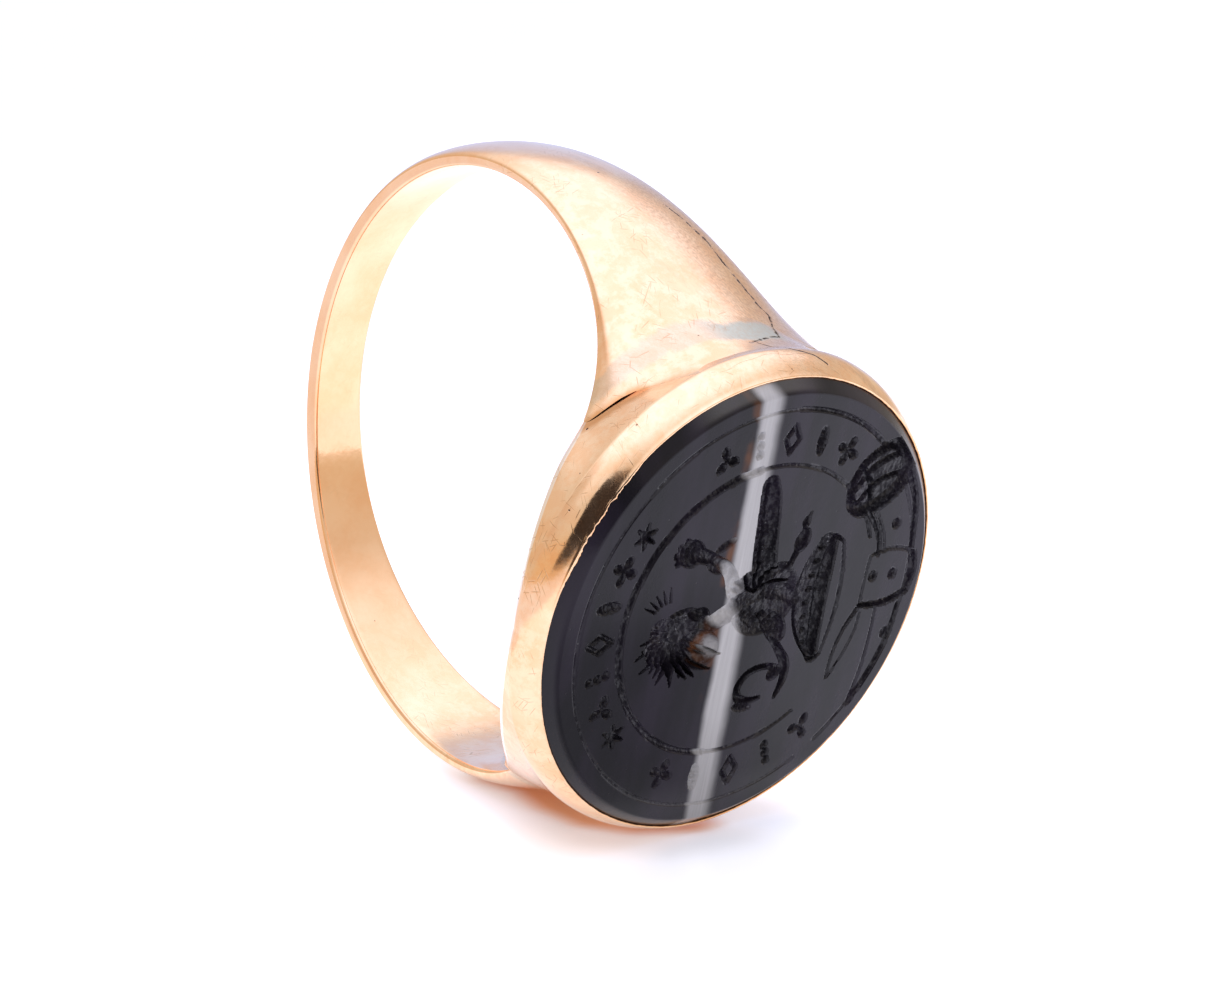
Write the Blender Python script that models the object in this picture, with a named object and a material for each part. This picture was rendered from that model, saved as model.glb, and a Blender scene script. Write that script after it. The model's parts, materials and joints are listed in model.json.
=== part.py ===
"""Signet ring: a made-up gold ring with a flat banded-agate seal stone.

It stands as such a ring stands when it is put down with its seal forward: on the lowest point of its
hoop and on the lower edge of its bezel. World: +Z up, floor at z = 0, finger axis along Y, seal
towards +X and leaning forward. Sizes are written in millimetres and turned into metres by MM.

The ring itself is drawn in its own frame, under the empty "ring_frame": the finger axis is Y, the
seal faces +X, and an angle round the hoop is measured from the back of the hoop (-X), positive
towards +Z, so the middle of the seal is at 180 degrees.
"""

import math

import bmesh
import bpy
from mathutils import Matrix, Vector

MM = 0.001

# Driving dimensions, in millimetres and degrees.
FINGER_RADIUS = 9.3  # inside of the hoop
BAND_THICKNESS = 0.68  # crest of the hoop at the back
SHOULDER_RISE = 1.95  # how much thicker the crest gets by the time it meets the bezel
RISE_POWER = 14.0  # how late the crest rises: the hoop stays slim and then sweeps up
BAND_EDGE = 0.43  # thickness of the hoop at its two rims, at the back
SHOULDER_EDGE = 0.15  # the same at the bezel
BAND_HALF_WIDTH = 0.95  # half the hoop's width at the back
WIDTH_SPREAD = 0.379  # half-width gained per radian squared
WIDTH_FLARE = 1.157  # half-width gained by the last fan of the shoulders
FLARE_ANGLE = 143.0  # where the fan has gained all of WIDTH_FLARE
FLARE_POWER = 10  # how late the fan opens
BAND_DOME = 0.42  # exponent of the crowned section at the back: small is boxy, 0.5 is an ellipse
SHOULDER_DOME = 0.60  # the same at the bezel
BAND_END = 93.0  # the palm-side strip ends here, on both sides
SHOULDER_END = 141.0  # where the crest of the shoulder meets the bezel
LOFT_END = 151.0  # the shoulders are drawn to here, and the bezel's wall trims them
SOLDER_START = 122.0  # the solder at the bezel is cut out of the hoop from here to LOFT_END

LIP_HEIGHT = 10.74  # from the hoop's centre to the plane of the burnished lip
BEZEL_ALONG = 7.82  # half the bezel's widest size along the finger
BEZEL_ABOVE = 7.74  # the same across the finger, on the side that points up
BEZEL_BELOW = 7.60  # the same on the side that rests on the floor
LIP_INSET = 0.16  # how far the rounded lip lies inside the widest part
BULGE_TOP = 0.35  # depth under the lip at which the wall reaches its full width
WAIST_TOP = 0.95  # depth at which the wall starts to change towards the finger
SLOPE_ALONG = 0.40  # how fast it draws in, along the finger
SLOPE_ABOVE = 0.27  # the same on the upper side
SLOPE_BELOW = -0.17  # the same on the lower side, where it spreads instead
WALL_DEPTH = 5.40  # depth to which the wall is drawn, before the finger hole trims it
WALL = 0.30  # thickness of the wall below the stone

STONE_ALONG = 7.50  # half the stone's girdle along the finger
STONE_RATIO = 0.968  # the stone's size across the finger over its size along it
TABLE_ALONG = 7.05  # half the flat seal face along the finger
STONE_BOTTOM = 9.80  # height of its flat underside above the hoop's centre
GIRDLE_TOP = 10.62  # where its bevel starts
STONE_TOP = 11.02  # its flat seal face
LIP_OPENING = 7.435  # half the opening of the lip, which is burnished over the bevel

PLATE = 0.32  # thickness of the finger-side plate
BEARER_WIDTH = 0.60  # width of the inner strip that the stone sits on
FIT = 0.02  # clearance between pieces that touch
SOLDER = 0.10  # thickness of a solder film
OVERRUN = 0.50  # how far a cutter runs past what it cuts

HOOP_STEP = 4.0  # degrees between sections of the hoop
CROWN_POINTS = 10  # facets across the crown of the hoop
OVAL_STEPS = 64  # facets round the bezel and the stone
WALL_STEPS = 4  # facets from the waist of the bezel down to its end
BORE_SEGMENTS = 144  # facets round the finger hole
BORE_LENGTH = 24.0  # length of the cutters along the finger
SMOOTH_ANGLE = 40.0  # edges sharper than this are shaded as edges
STEEPEST_LEAN = 45.0  # the resting lean is looked for between upright and this
LEAN_HALVINGS = 40  # how often that range is halved

# Colours and finishes: base colour, metallic, roughness.
FINISHES = {
    "rose_gold": ((0.88, 0.60, 0.38), 1.0, 0.12),
    "gold_solder": ((0.72, 0.66, 0.50), 1.0, 0.25),
    "banded_agate": ((0.020, 0.019, 0.024), 0.0, 0.16),
    "setting_pitch": ((0.075, 0.045, 0.030), 0.0, 0.70),
}


def clear_scene():
    """Remove every object that the file opened with."""
    for obj in list(bpy.data.objects):
        bpy.data.objects.remove(obj, do_unlink=True)


def new_collection(name):
    """A collection of its own under the scene's."""
    collection = bpy.data.collections.new(name)
    bpy.context.scene.collection.children.link(collection)
    return collection


def make_material(name):
    """A Principled material from FINISHES."""
    colour, metallic, roughness = FINISHES[name]
    material = bpy.data.materials.new(name)
    material.use_nodes = True
    shader = material.node_tree.nodes["Principled BSDF"]
    shader.inputs["Base Color"].default_value = (*colour, 1.0)
    shader.inputs["Metallic"].default_value = metallic
    shader.inputs["Roughness"].default_value = roughness
    material.diffuse_color = (*colour, 1.0)
    return material


def add_object(name, mesh, collection, frame, material=None):
    """Put a mesh in the scene under the ring's frame."""
    obj = bpy.data.objects.new(name, mesh)
    collection.objects.link(obj)
    obj.parent = frame
    if material:
        mesh.materials.append(material)
    return obj


def make_cutter(obj):
    """Mark an object as a tool that shapes others and isn't part of the ring."""
    obj.hide_render = True
    obj.display_type = "WIRE"
    return obj


def boolean(obj, operation, cutter):
    """Add one Boolean modifier."""
    modifier = obj.modifiers.new(f"{operation.lower()} {cutter.name}", "BOOLEAN")
    modifier.operation = operation
    modifier.object = cutter
    modifier.solver = "EXACT"


# --- the hoop ---------------------------------------------------------------------------------------


def half_width(angle):
    """Half the hoop's width at an angle from its back, in radians."""
    fan = (abs(angle) / math.radians(FLARE_ANGLE)) ** FLARE_POWER
    return BAND_HALF_WIDTH + WIDTH_SPREAD * angle**2 + WIDTH_FLARE * fan


def crest_thickness(angle):
    """Thickness in the middle of the hoop."""
    share = min(abs(angle) / math.radians(SHOULDER_END), 1.0)
    return BAND_THICKNESS + SHOULDER_RISE * share**RISE_POWER


def along_hoop(angle, at_back, at_bezel):
    """A value that changes evenly from the back of the hoop to the bezel."""
    share = min(abs(angle) / math.radians(SHOULDER_END), 1.0)
    return at_back + (at_bezel - at_back) * share


def hoop_section(angle):
    """Closed D-shaped section: flat on the finger, crowned outside, as a list of points."""
    width = half_width(angle)
    edge = along_hoop(angle, BAND_EDGE, SHOULDER_EDGE)
    dome = along_hoop(angle, BAND_DOME, SHOULDER_DOME)
    crown = crest_thickness(angle) - edge
    places = [(-width, FINGER_RADIUS), (width, FINGER_RADIUS)]
    for i in range(CROWN_POINTS + 1):
        across = math.cos(math.pi * i / CROWN_POINTS)
        height = edge + crown * max(1.0 - across**2, 0.0) ** dome
        places.append((width * across, FINGER_RADIUS + height))
    return [
        Vector((-radius * math.cos(angle), side, radius * math.sin(angle))) * MM
        for side, radius in places
    ]


def loft(name, sections, looped=False):
    """A closed mesh through sections that have the same number of points.

    The first and last sections are capped, or joined to each other if the loft is looped.
    """
    bm = bmesh.new()
    rings = [[bm.verts.new(point) for point in section] for section in sections]
    if looped:
        rings.append(rings[0])
    count = len(rings[0])
    for ring, following in zip(rings, rings[1:]):
        for i in range(count):
            j = (i + 1) % count
            bm.faces.new((ring[i], ring[j], following[j], following[i]))
    if not looped:
        bm.faces.new(rings[0])
        bm.faces.new(rings[-1])
    bmesh.ops.recalc_face_normals(bm, faces=bm.faces)
    mesh = bpy.data.meshes.new(name)
    bm.to_mesh(mesh)
    bm.free()
    mesh.shade_smooth()
    mesh.set_sharp_from_angle(angle=math.radians(SMOOTH_ANGLE))
    return mesh


def hoop_piece(name, start, end):
    """Mesh of the hoop between two angles in degrees."""
    steps = max(1, round(abs(end - start) / HOOP_STEP))
    angles = [math.radians(start + (end - start) * i / steps) for i in range(steps + 1)]
    return loft(name, [hoop_section(angle) for angle in angles])


# --- the bezel --------------------------------------------------------------------------------------


def oval(along, above, below, height):
    """Points round an oval whose upper and lower halves can differ, at a height over the hoop."""
    turns = [2.0 * math.pi * i / OVAL_STEPS for i in range(OVAL_STEPS)]
    halves = [above if turn < math.pi else below for turn in turns]
    return [
        Vector((height, along * math.cos(turn), half * math.sin(turn))) * MM
        for turn, half in zip(turns, halves)
    ]


def wall_oval(depth, growth=0.0):
    """The wall's outer oval at a depth under the lip, grown by an amount."""
    inset = LIP_INSET * max(1.0 - depth / BULGE_TOP, 0.0)
    drawn = max(depth - WAIST_TOP, 0.0)
    along = BEZEL_ALONG - inset - SLOPE_ALONG * drawn
    above = BEZEL_ABOVE - inset - SLOPE_ABOVE * drawn
    below = BEZEL_BELOW - inset - SLOPE_BELOW * drawn
    return oval(along + growth, above + growth, below + growth, LIP_HEIGHT - depth)


def stone_oval(along, height, growth=0.0):
    """An oval of the stone's proportions, grown by an amount."""
    across = along * STONE_RATIO + growth
    return oval(along + growth, across, across, height)


def even_depths(top, bottom):
    """Depths under the lip, evenly spaced from top to bottom."""
    return [top + (bottom - top) * i / WALL_STEPS for i in range(WALL_STEPS + 1)]


def wall_ovals(growth=0.0):
    """The wall's ovals from the lip down."""
    depths = [0.0, BULGE_TOP, *even_depths(WAIST_TOP, WALL_DEPTH)]
    return [wall_oval(depth, growth) for depth in depths]


def filling(inset):
    """Ovals of what fits inside the wall under the stone, from the top down."""
    top = LIP_HEIGHT - STONE_BOTTOM + FIT
    return [wall_oval(depth, -WALL - inset) for depth in even_depths(top, WALL_DEPTH)]


def bore(name, radius, cutters, frame):
    """Cylinder along the finger axis."""
    mesh = bpy.data.meshes.new(name)
    bm = bmesh.new()
    bmesh.ops.create_cone(
        bm,
        cap_ends=True,
        segments=BORE_SEGMENTS,
        radius1=radius * MM,
        radius2=radius * MM,
        depth=BORE_LENGTH * MM,
        matrix=Matrix.Rotation(math.radians(90.0), 4, "X"),
    )
    bm.to_mesh(mesh)
    bm.free()
    return make_cutter(add_object(name, mesh, cutters, frame))


def bezel_collar(parts, cutters, frame, gold):
    """Oval wall with the lip that holds the stone, saddle-shaped underneath."""
    mesh = loft("bezel_collar", wall_ovals())
    collar = add_object("bezel_collar", mesh, parts, frame, gold)
    boolean(collar, "DIFFERENCE", cutters["stone_pocket"])
    boolean(collar, "DIFFERENCE", cutters["finger_hole"])


def back_plate(parts, cutters, frame, gold):
    """Curved plate that closes the bezel on the finger's side."""
    plate = add_object("back_plate", loft("back_plate", filling(FIT)), parts, frame, gold)
    boolean(plate, "INTERSECT", cutters["plate_outside"])
    boolean(plate, "DIFFERENCE", cutters["finger_hole"])


def stone_bearer(parts, cutters, frame, gold):
    """Inner strip that carries the stone's edge."""
    mesh = loft("stone_bearer", filling(FIT) + filling(FIT + BEARER_WIDTH)[::-1], looped=True)
    bearer = add_object("stone_bearer", mesh, parts, frame, gold)
    boolean(bearer, "DIFFERENCE", cutters["plate_clearance"])


def setting_pitch(parts, cutters, frame, pitch):
    """Packing that fills the bezel under the stone, inside the bearer."""
    mesh = loft("setting_pitch", filling(BEARER_WIDTH + 2.0 * FIT))
    packing = add_object("setting_pitch", mesh, parts, frame, pitch)
    boolean(packing, "DIFFERENCE", cutters["plate_clearance"])


def seal_stone(parts, frame, agate):
    """Flat oval stone with a bevelled edge."""
    ovals = [
        stone_oval(STONE_ALONG, STONE_BOTTOM),
        stone_oval(STONE_ALONG, GIRDLE_TOP),
        stone_oval(TABLE_ALONG, STONE_TOP),
    ]
    add_object("seal_stone", loft("seal_stone", ovals), parts, frame, agate)


# --- the assembly -----------------------------------------------------------------------------------


def make_cutters(collection, frame):
    """Everything that trims the pieces, by name."""
    bores = {
        "finger_hole": FINGER_RADIUS,
        "plate_outside": FINGER_RADIUS + PLATE,
        "plate_clearance": FINGER_RADIUS + PLATE + FIT,
    }
    tools = {name: bore(name, radius, collection, frame) for name, radius in bores.items()}
    pocket = [
        stone_oval(LIP_OPENING, LIP_HEIGHT + OVERRUN),
        stone_oval(LIP_OPENING, LIP_HEIGHT),
        stone_oval(STONE_ALONG, GIRDLE_TOP, FIT),
        stone_oval(STONE_ALONG, STONE_BOTTOM, FIT),
        *filling(0.0),
        wall_oval(WALL_DEPTH + OVERRUN, -WALL),
    ]
    lofts = {
        "stone_pocket": loft("stone_pocket", pocket),
        "solder_space": loft("solder_space", wall_ovals(SOLDER + 2.0 * FIT)),
        "solder_film": loft(
            "solder_film", wall_ovals(FIT + SOLDER) + wall_ovals(FIT)[::-1], looped=True
        ),
    }
    for name, mesh in lofts.items():
        tools[name] = make_cutter(add_object(name, mesh, collection, frame))
    return tools


def degrees_of(length):
    """Angle that a length takes up along the inside of the hoop."""
    return math.degrees(length / FINGER_RADIUS)


def make_shank(parts, cutters, frame, gold, solder):
    """Palm-side strip, two shoulders, and the four films of solder that join them up."""
    gap = degrees_of(FIT)
    film = degrees_of(SOLDER)
    band = hoop_piece("shank_band", -BAND_END, BAND_END)
    add_object("shank_band", band, parts, frame, gold)
    for side, sign in (("upper", 1.0), ("lower", -1.0)):
        seam = BAND_END + gap
        mesh = hoop_piece(f"band_solder_{side}", sign * seam, sign * (seam + film))
        add_object(f"band_solder_{side}", mesh, parts, frame, solder)
        start = seam + film + gap
        mesh = hoop_piece(f"shoulder_{side}", sign * start, sign * LOFT_END)
        shoulder = add_object(f"shoulder_{side}", mesh, parts, frame, gold)
        boolean(shoulder, "DIFFERENCE", cutters["solder_space"])
        mesh = hoop_piece(f"bezel_solder_{side}", sign * SOLDER_START, sign * LOFT_END)
        bead = add_object(f"bezel_solder_{side}", mesh, parts, frame, solder)
        boolean(bead, "INTERSECT", cutters["solder_film"])


def solid_points(objects):
    """World positions of every vertex of the finished pieces."""
    graph = bpy.context.evaluated_depsgraph_get()
    points = []
    for obj in objects:
        finished = obj.evaluated_get(graph)
        mesh = finished.to_mesh()
        points += [finished.matrix_world @ vertex.co for vertex in mesh.vertices]
        finished.to_mesh_clear()
    return points


def lowest(points, lean):
    """Height of the lowest point once the ring leans forward by an angle."""
    return min(point.z * math.cos(lean) - point.x * math.sin(lean) for point in points)


def resting_lean(hoop, bezel):
    """Forward lean at which the hoop and the bezel both touch a flat floor."""
    upright = 0.0
    tipped = math.radians(STEEPEST_LEAN)
    for _ in range(LEAN_HALVINGS):
        middle = 0.5 * (upright + tipped)
        if lowest(bezel, middle) < lowest(hoop, middle):
            tipped = middle
        else:
            upright = middle
    return 0.5 * (upright + tipped)


def stand_on_floor(frame, objects):
    """Lean the ring on its own rest points, and centre its box over the origin."""
    bpy.context.view_layer.update()
    bezel = solid_points([obj for obj in objects if obj.name == "bezel_collar"])
    hoop = solid_points([obj for obj in objects if obj.name in ("shank_band", "shoulder_lower")])
    frame.rotation_euler = (0.0, resting_lean(hoop, bezel), 0.0)
    bpy.context.view_layer.update()
    points = solid_points(objects)
    middle = [0.5 * (min(p[i] for p in points) + max(p[i] for p in points)) for i in (0, 1)]
    frame.location = (-middle[0], -middle[1], -min(p.z for p in points))


def main():
    """Build the ring."""
    clear_scene()
    parts = new_collection("signet_ring")
    tools = new_collection("signet_ring_cutters")
    frame = bpy.data.objects.new("ring_frame", None)
    parts.objects.link(frame)
    gold = make_material("rose_gold")
    solder = make_material("gold_solder")
    agate = make_material("banded_agate")
    pitch = make_material("setting_pitch")
    cutters = make_cutters(tools, frame)
    make_shank(parts, cutters, frame, gold, solder)
    bezel_collar(parts, cutters, frame, gold)
    back_plate(parts, cutters, frame, gold)
    stone_bearer(parts, cutters, frame, gold)
    setting_pitch(parts, cutters, frame, pitch)
    seal_stone(parts, frame, agate)
    stand_on_floor(frame, [obj for obj in parts.objects if obj.type == "MESH"])


main()
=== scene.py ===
"""Looks for the signet ring: polished rose gold round a flat, engraved banded-agate seal.

Every shape is drawn in the ring's own frame, in millimetres: the finger axis is Y, the seal faces
+X, and an angle round the hoop is measured from its back (-X), positive towards +Z. The frame's
place comes from the record's seal_face mount. The hoop's and the bezel's sizes are those of the CAD.
"""

import json
import math

import bpy
import numpy as np
from mathutils import Matrix, Vector


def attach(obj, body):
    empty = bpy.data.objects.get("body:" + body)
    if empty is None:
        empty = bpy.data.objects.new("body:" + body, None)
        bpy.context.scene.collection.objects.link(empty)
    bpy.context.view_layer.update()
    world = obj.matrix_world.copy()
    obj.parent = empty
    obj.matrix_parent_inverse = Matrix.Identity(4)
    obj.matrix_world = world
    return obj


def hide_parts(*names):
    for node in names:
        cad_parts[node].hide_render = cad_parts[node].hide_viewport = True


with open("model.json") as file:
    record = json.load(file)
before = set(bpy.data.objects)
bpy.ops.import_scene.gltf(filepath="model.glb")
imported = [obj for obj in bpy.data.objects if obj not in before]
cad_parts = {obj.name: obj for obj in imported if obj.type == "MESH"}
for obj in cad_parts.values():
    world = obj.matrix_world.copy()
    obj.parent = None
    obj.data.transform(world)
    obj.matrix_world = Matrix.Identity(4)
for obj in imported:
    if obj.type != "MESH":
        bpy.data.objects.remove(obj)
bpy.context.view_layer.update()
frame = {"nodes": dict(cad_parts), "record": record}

MM = 0.001

# The hoop, as in the CAD model.
FINGER_RADIUS = 9.3
BAND_THICKNESS = 0.68
SHOULDER_RISE = 1.95
RISE_POWER = 14.0
BAND_EDGE = 0.43
SHOULDER_EDGE = 0.15
BAND_HALF_WIDTH = 0.95
WIDTH_SPREAD = 0.379
WIDTH_FLARE = 1.157
FLARE_ANGLE = 143.0
FLARE_POWER = 10
BAND_DOME = 0.42
SHOULDER_DOME = 0.60
BAND_END = 93.0
SHOULDER_END = 141.0
LOFT_END = 151.0

# The bezel, as in the CAD model.
LIP_HEIGHT = 10.74
BEZEL_ALONG = 7.82
BEZEL_ABOVE = 7.74
BEZEL_BELOW = 7.60
WAIST_TOP = 0.95
SLOPE_ALONG = 0.40
SLOPE_ABOVE = 0.27
SLOPE_BELOW = -0.17
WALL = 0.30
WALL_DEPTH = 5.40

# The stone, as in the CAD model.
STONE_ALONG = 7.50
STONE_RATIO = 0.968
TABLE_ALONG = 7.05
STONE_BOTTOM = 9.80
GIRDLE_TOP = 10.62
STONE_TOP = 11.02
LIP_OPENING = 7.435

FIT = 0.02
SOLDER = 0.10
# How far the looks stay inside the CAD model where both would touch the same bounds.
WITHIN = 0.006


# --- the ring's frame -------------------------------------------------------------------------------


def ring_matrix():
    """The ring's frame in the world, read from the seal's mount."""
    seal = next(mount for mount in frame["record"]["mounts"] if mount["name"] == "seal_face")
    normal = Vector(seal["axis"])
    centre = Vector(seal["pos_m"]) - normal * STONE_TOP * MM
    lean = math.atan2(-normal.z, normal.x)
    return Matrix.Translation(centre) @ Matrix.Rotation(lean, 4, "Y")


RING = ring_matrix()
# Edges that turn by more than this, in degrees, are not smoothed.
SHARP = 48.0


def add_piece(name, vertices, faces, replaced, values=None, sheet=None):
    """A smooth mesh piece in the ring's frame.

    Its material reads the attributes: place in millimetres, sheet (distances along and across the
    surface), and the named values.
    """
    places = np.asarray(vertices, dtype=float).reshape(-1, 3)
    turned = places @ np.array(RING.to_3x3()).T * MM + np.array(RING.translation)
    mesh = bpy.data.meshes.new(name)
    mesh.from_pydata(turned.tolist(), [], faces)
    attribute = mesh.attributes.new("place", "FLOAT_VECTOR", "POINT")
    attribute.data.foreach_set("vector", places.astype(np.float32).ravel())
    if sheet is not None:
        laid = np.stack([np.ravel(sheet[0]), np.ravel(sheet[1]), np.zeros(len(places))], axis=-1)
        attribute = mesh.attributes.new("sheet", "FLOAT_VECTOR", "POINT")
        attribute.data.foreach_set("vector", laid.astype(np.float32).ravel())
    for key, numbers in (values or {}).items():
        attribute = mesh.attributes.new(key, "FLOAT", "POINT")
        attribute.data.foreach_set("value", np.asarray(numbers, dtype=np.float32).ravel())
    mesh.shade_smooth()
    mesh.set_sharp_from_angle(angle=math.radians(SHARP))
    piece = bpy.data.objects.new(name, mesh)
    bpy.context.scene.collection.objects.link(piece)
    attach(piece, "root")
    if replaced:
        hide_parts(*replaced)
    return piece


def grid_faces(rows, columns, closed_rows=False, closed_columns=False):
    """Quads of a grid of points, numbered row by row."""
    last_row = rows if closed_rows else rows - 1
    last_column = columns if closed_columns else columns - 1
    row, column = np.meshgrid(np.arange(last_row), np.arange(last_column), indexing="ij")
    below = (row + 1) % rows
    beside = (column + 1) % columns
    around = ((row, column), (row, beside), (below, beside), (below, column))
    corners = [line * columns + place for line, place in around]
    return np.stack([corner.ravel() for corner in corners], axis=1).tolist()


def run_lengths(points, axis):
    """Distance travelled along one axis of a grid of points."""
    steps = np.linalg.norm(np.diff(points, axis=axis), axis=-1)
    start = np.zeros_like(np.take(steps, [0], axis=axis))
    return np.concatenate([start, np.cumsum(steps, axis=axis)], axis=axis)


def smoothstep(low, high, value):
    """0 below low, 1 above high, and smooth between."""
    share = np.clip((value - low) / (high - low), 0.0, 1.0)
    return share * share * (3.0 - 2.0 * share)


# --- the hoop ---------------------------------------------------------------------------------------

CROWN_STEPS = 56
FLAT_STEPS = 18
RIM_STEPS = 5


def half_width(angle):
    """Half the hoop's width at an angle from its back, in radians."""
    fan = (np.abs(angle) / math.radians(FLARE_ANGLE)) ** FLARE_POWER
    return BAND_HALF_WIDTH + WIDTH_SPREAD * angle**2 + WIDTH_FLARE * fan


def share_to_bezel(angle):
    """0 at the back of the hoop, 1 where the shoulder's crest meets the bezel."""
    return np.minimum(np.abs(angle) / math.radians(SHOULDER_END), 1.0)


def hoop_section():
    """Closed section of the hoop as (across, rim share, crown share, on the flat) per point."""
    points = []
    for i in range(FLAT_STEPS + 1):
        points.append((-1.0 + 2.0 * i / FLAT_STEPS, 0.0, 0.0, True))
    for i in range(RIM_STEPS):
        points.append((1.0, (i + 0.5) / RIM_STEPS, 0.0, False))
    for i in range(CROWN_STEPS + 1):
        turn = math.pi * i / CROWN_STEPS
        points.append((math.cos(turn), 1.0, math.sin(turn), False))
    for i in range(RIM_STEPS):
        points.append((-1.0, (RIM_STEPS - i - 0.5) / RIM_STEPS, 0.0, False))
    return points


SECTION = hoop_section()
SECTION_ACROSS, SECTION_RIM, SECTION_CROWN, SECTION_FLAT = (np.array(column) for column in zip(*SECTION))
CROWN_MIDDLE = FLAT_STEPS + 1 + RIM_STEPS + CROWN_STEPS // 2
RIM_RADIUS = 0.13
# Stored in place of the distance from the bezel's seam where no solder ran out: past all of it.
NO_SEAM = 50.0


def hoop_points(angle):
    """Points of the hoop's section at each angle, which has a row per section and a column per point."""
    share = share_to_bezel(angle)
    edge = BAND_EDGE + (SHOULDER_EDGE - BAND_EDGE) * share
    dome = BAND_DOME + (SHOULDER_DOME - BAND_DOME) * share
    thickness = BAND_THICKNESS - WITHIN + SHOULDER_RISE * share**RISE_POWER
    width = half_width(angle)
    radius = np.minimum(RIM_RADIUS, 0.6 * edge)
    # The finger-side corners are rounded: the flat stops short of the rim, and the rim starts above it.
    corner = (~SECTION_FLAT) & (SECTION_RIM < 1.0)
    turn = np.minimum(math.pi * SECTION_RIM, 0.5 * math.pi)
    rounded = np.sign(SECTION_ACROSS) * (width - radius + radius * np.sin(turn))
    side = np.where(SECTION_FLAT, (width - radius) * SECTION_ACROSS, width * SECTION_ACROSS)
    side = np.where(corner, rounded, side)
    upright = radius + (edge - radius) * (SECTION_RIM - 0.5) * 2.0
    rise = np.where(SECTION_RIM < 0.5, radius * (1.0 - np.cos(turn)), upright)
    domed = edge + (thickness - edge) * SECTION_CROWN ** (2.0 * dome)
    reach = FINGER_RADIUS + np.where(SECTION_FLAT, 0.0, np.where(corner, rise, domed))
    return np.stack([-reach * np.cos(angle), side, reach * np.sin(angle)], axis=-1)


def capped(rows, columns):
    """Faces of a tube of sections with both ends closed."""
    faces = grid_faces(rows, columns, closed_columns=True)
    faces.append(list(range(columns))[::-1])
    faces.append(list(range((rows - 1) * columns, rows * columns)))
    return faces


def hoop_piece(name, start, end, steps, replaced, seamed=False):
    """A stretch of the hoop between two angles, each a number or one per section point, in degrees."""
    share = np.linspace(0.0, 1.0, steps + 1)[:, None]
    first = np.radians(np.broadcast_to(start, (len(SECTION),)))[None, :]
    last = np.radians(np.broadcast_to(end, (len(SECTION),)))[None, :]
    angle = first + (last - first) * share
    points = hoop_points(angle)
    seam = (np.abs(last) - np.abs(angle)) * FINGER_RADIUS if seamed else np.full(angle.shape, NO_SEAM)
    faces = capped(steps + 1, len(SECTION))
    if np.mean(last) > np.mean(first):
        faces = [face[::-1] for face in faces]
    across = run_lengths(points, 1)
    across = across - across[:, CROWN_MIDDLE : CROWN_MIDDLE + 1]
    sheet = (angle * (FINGER_RADIUS + BAND_THICKNESS), across)
    return add_piece(name, points.reshape(-1, 3), faces, replaced, {"seam": seam}, sheet)


# --- the bezel --------------------------------------------------------------------------------------

OVAL_STEPS = 720
WALL_ROWS = 44
INNER_WALL = WALL + 0.12
LIP_STRIP = 0.05
LIP_ROUND = 0.04
UPPER_SWELL = 0.22
LOWER_SWELL = 0.30
# Where the wall is clear of the shoulders, as its reach along the finger: first touch, then quite clear.
UPPER_CLEAR = (0.655, 0.84)
LOWER_CLEAR = (0.50, 0.62)
RIM_CLEAR = (0.62, 0.78)
# Radius of the finger-side rim under the shoulders, and what is added where it is clear of them.
RIM_TIGHT = 0.03
RIM_EXTRA = 0.28
FACE_SHARES = (0.0, 0.5, 1.0)
RIM_SHARES = (0.15, 0.3, 0.45, 0.6, 0.8, 1.0)
# Rows of the collar painted with an orange reflection as the edge of its lip: the innermost three, and all
# those inside them.
LIP_EDGE_ROWS = 7
# How far the lip is pushed over the stone, and the turns in degrees at which that begins and ends.
LIP_PUSH = 0.06
PUSH_START = (128.0, 140.0)
PUSH_END = (158.0, 174.0)
LIP_WEAR = 0.006
LIP_NICKS = 0.30
LIP_NICK_STEPS = (1.1, 0.5)
# Half size along the finger and height of the stone's bevel, from the table to the girdle.
BEVEL = (
    (TABLE_ALONG, STONE_TOP),
    (TABLE_ALONG + 0.05, 10.98),
    (7.40, 10.71),
    (STONE_ALONG, GIRDLE_TOP),
)
# Share of the way in from the wall's crest to the stone, and how far the lip is rounded up there.
LIP_PROFILE = (
    (0.10, 0.018),
    (0.25, 0.028),
    (0.45, 0.032),
    (0.65, 0.030),
    (0.82, 0.024),
    (0.94, 0.014),
    (1.0, 0.003),
)
# Shares of the way out from the middle of the finger-side plate at which it has a ring of points.
PLATE_SHARES = (0.02, 0.1, 0.2, 0.3, 0.4, 0.5, 0.6, 0.7, 0.8, 0.88, 0.94, 0.98, 1.0)
PLATE_THICKNESS = 0.3


def wall_sizes(depth):
    """Half sizes of the wall's outside at a depth under the lip, below its rounded top."""
    drawn = np.maximum(depth - WAIST_TOP, 0.0)
    return (
        BEZEL_ALONG - SLOPE_ALONG * drawn,
        BEZEL_ABOVE - SLOPE_ABOVE * drawn,
        BEZEL_BELOW - SLOPE_BELOW * drawn,
    )


def sizes_at(turn, depth):
    """The wall's half sizes along the finger and across it, at a turn round the seal axis."""
    along, above, below = wall_sizes(depth)
    return along, np.where(np.sin(turn) > 0.0, above, below)


def wall_point(turn, depth, growth):
    """Point of the wall, grown by an amount, at a turn and a depth under the lip."""
    along, across = sizes_at(turn, depth)
    side = (along + growth) * np.cos(turn)
    return np.stack([LIP_HEIGHT - depth, side, (across + growth) * np.sin(turn)], axis=-1)


def inside_wall(point):
    """Negative inside the wall's outer surface and positive outside."""
    along, above, below = wall_sizes(LIP_HEIGHT - point[..., 0])
    across = np.where(point[..., 2] > 0.0, above, below)
    return (point[..., 1] / along) ** 2 + (point[..., 2] / across) ** 2 - 1.0


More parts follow.
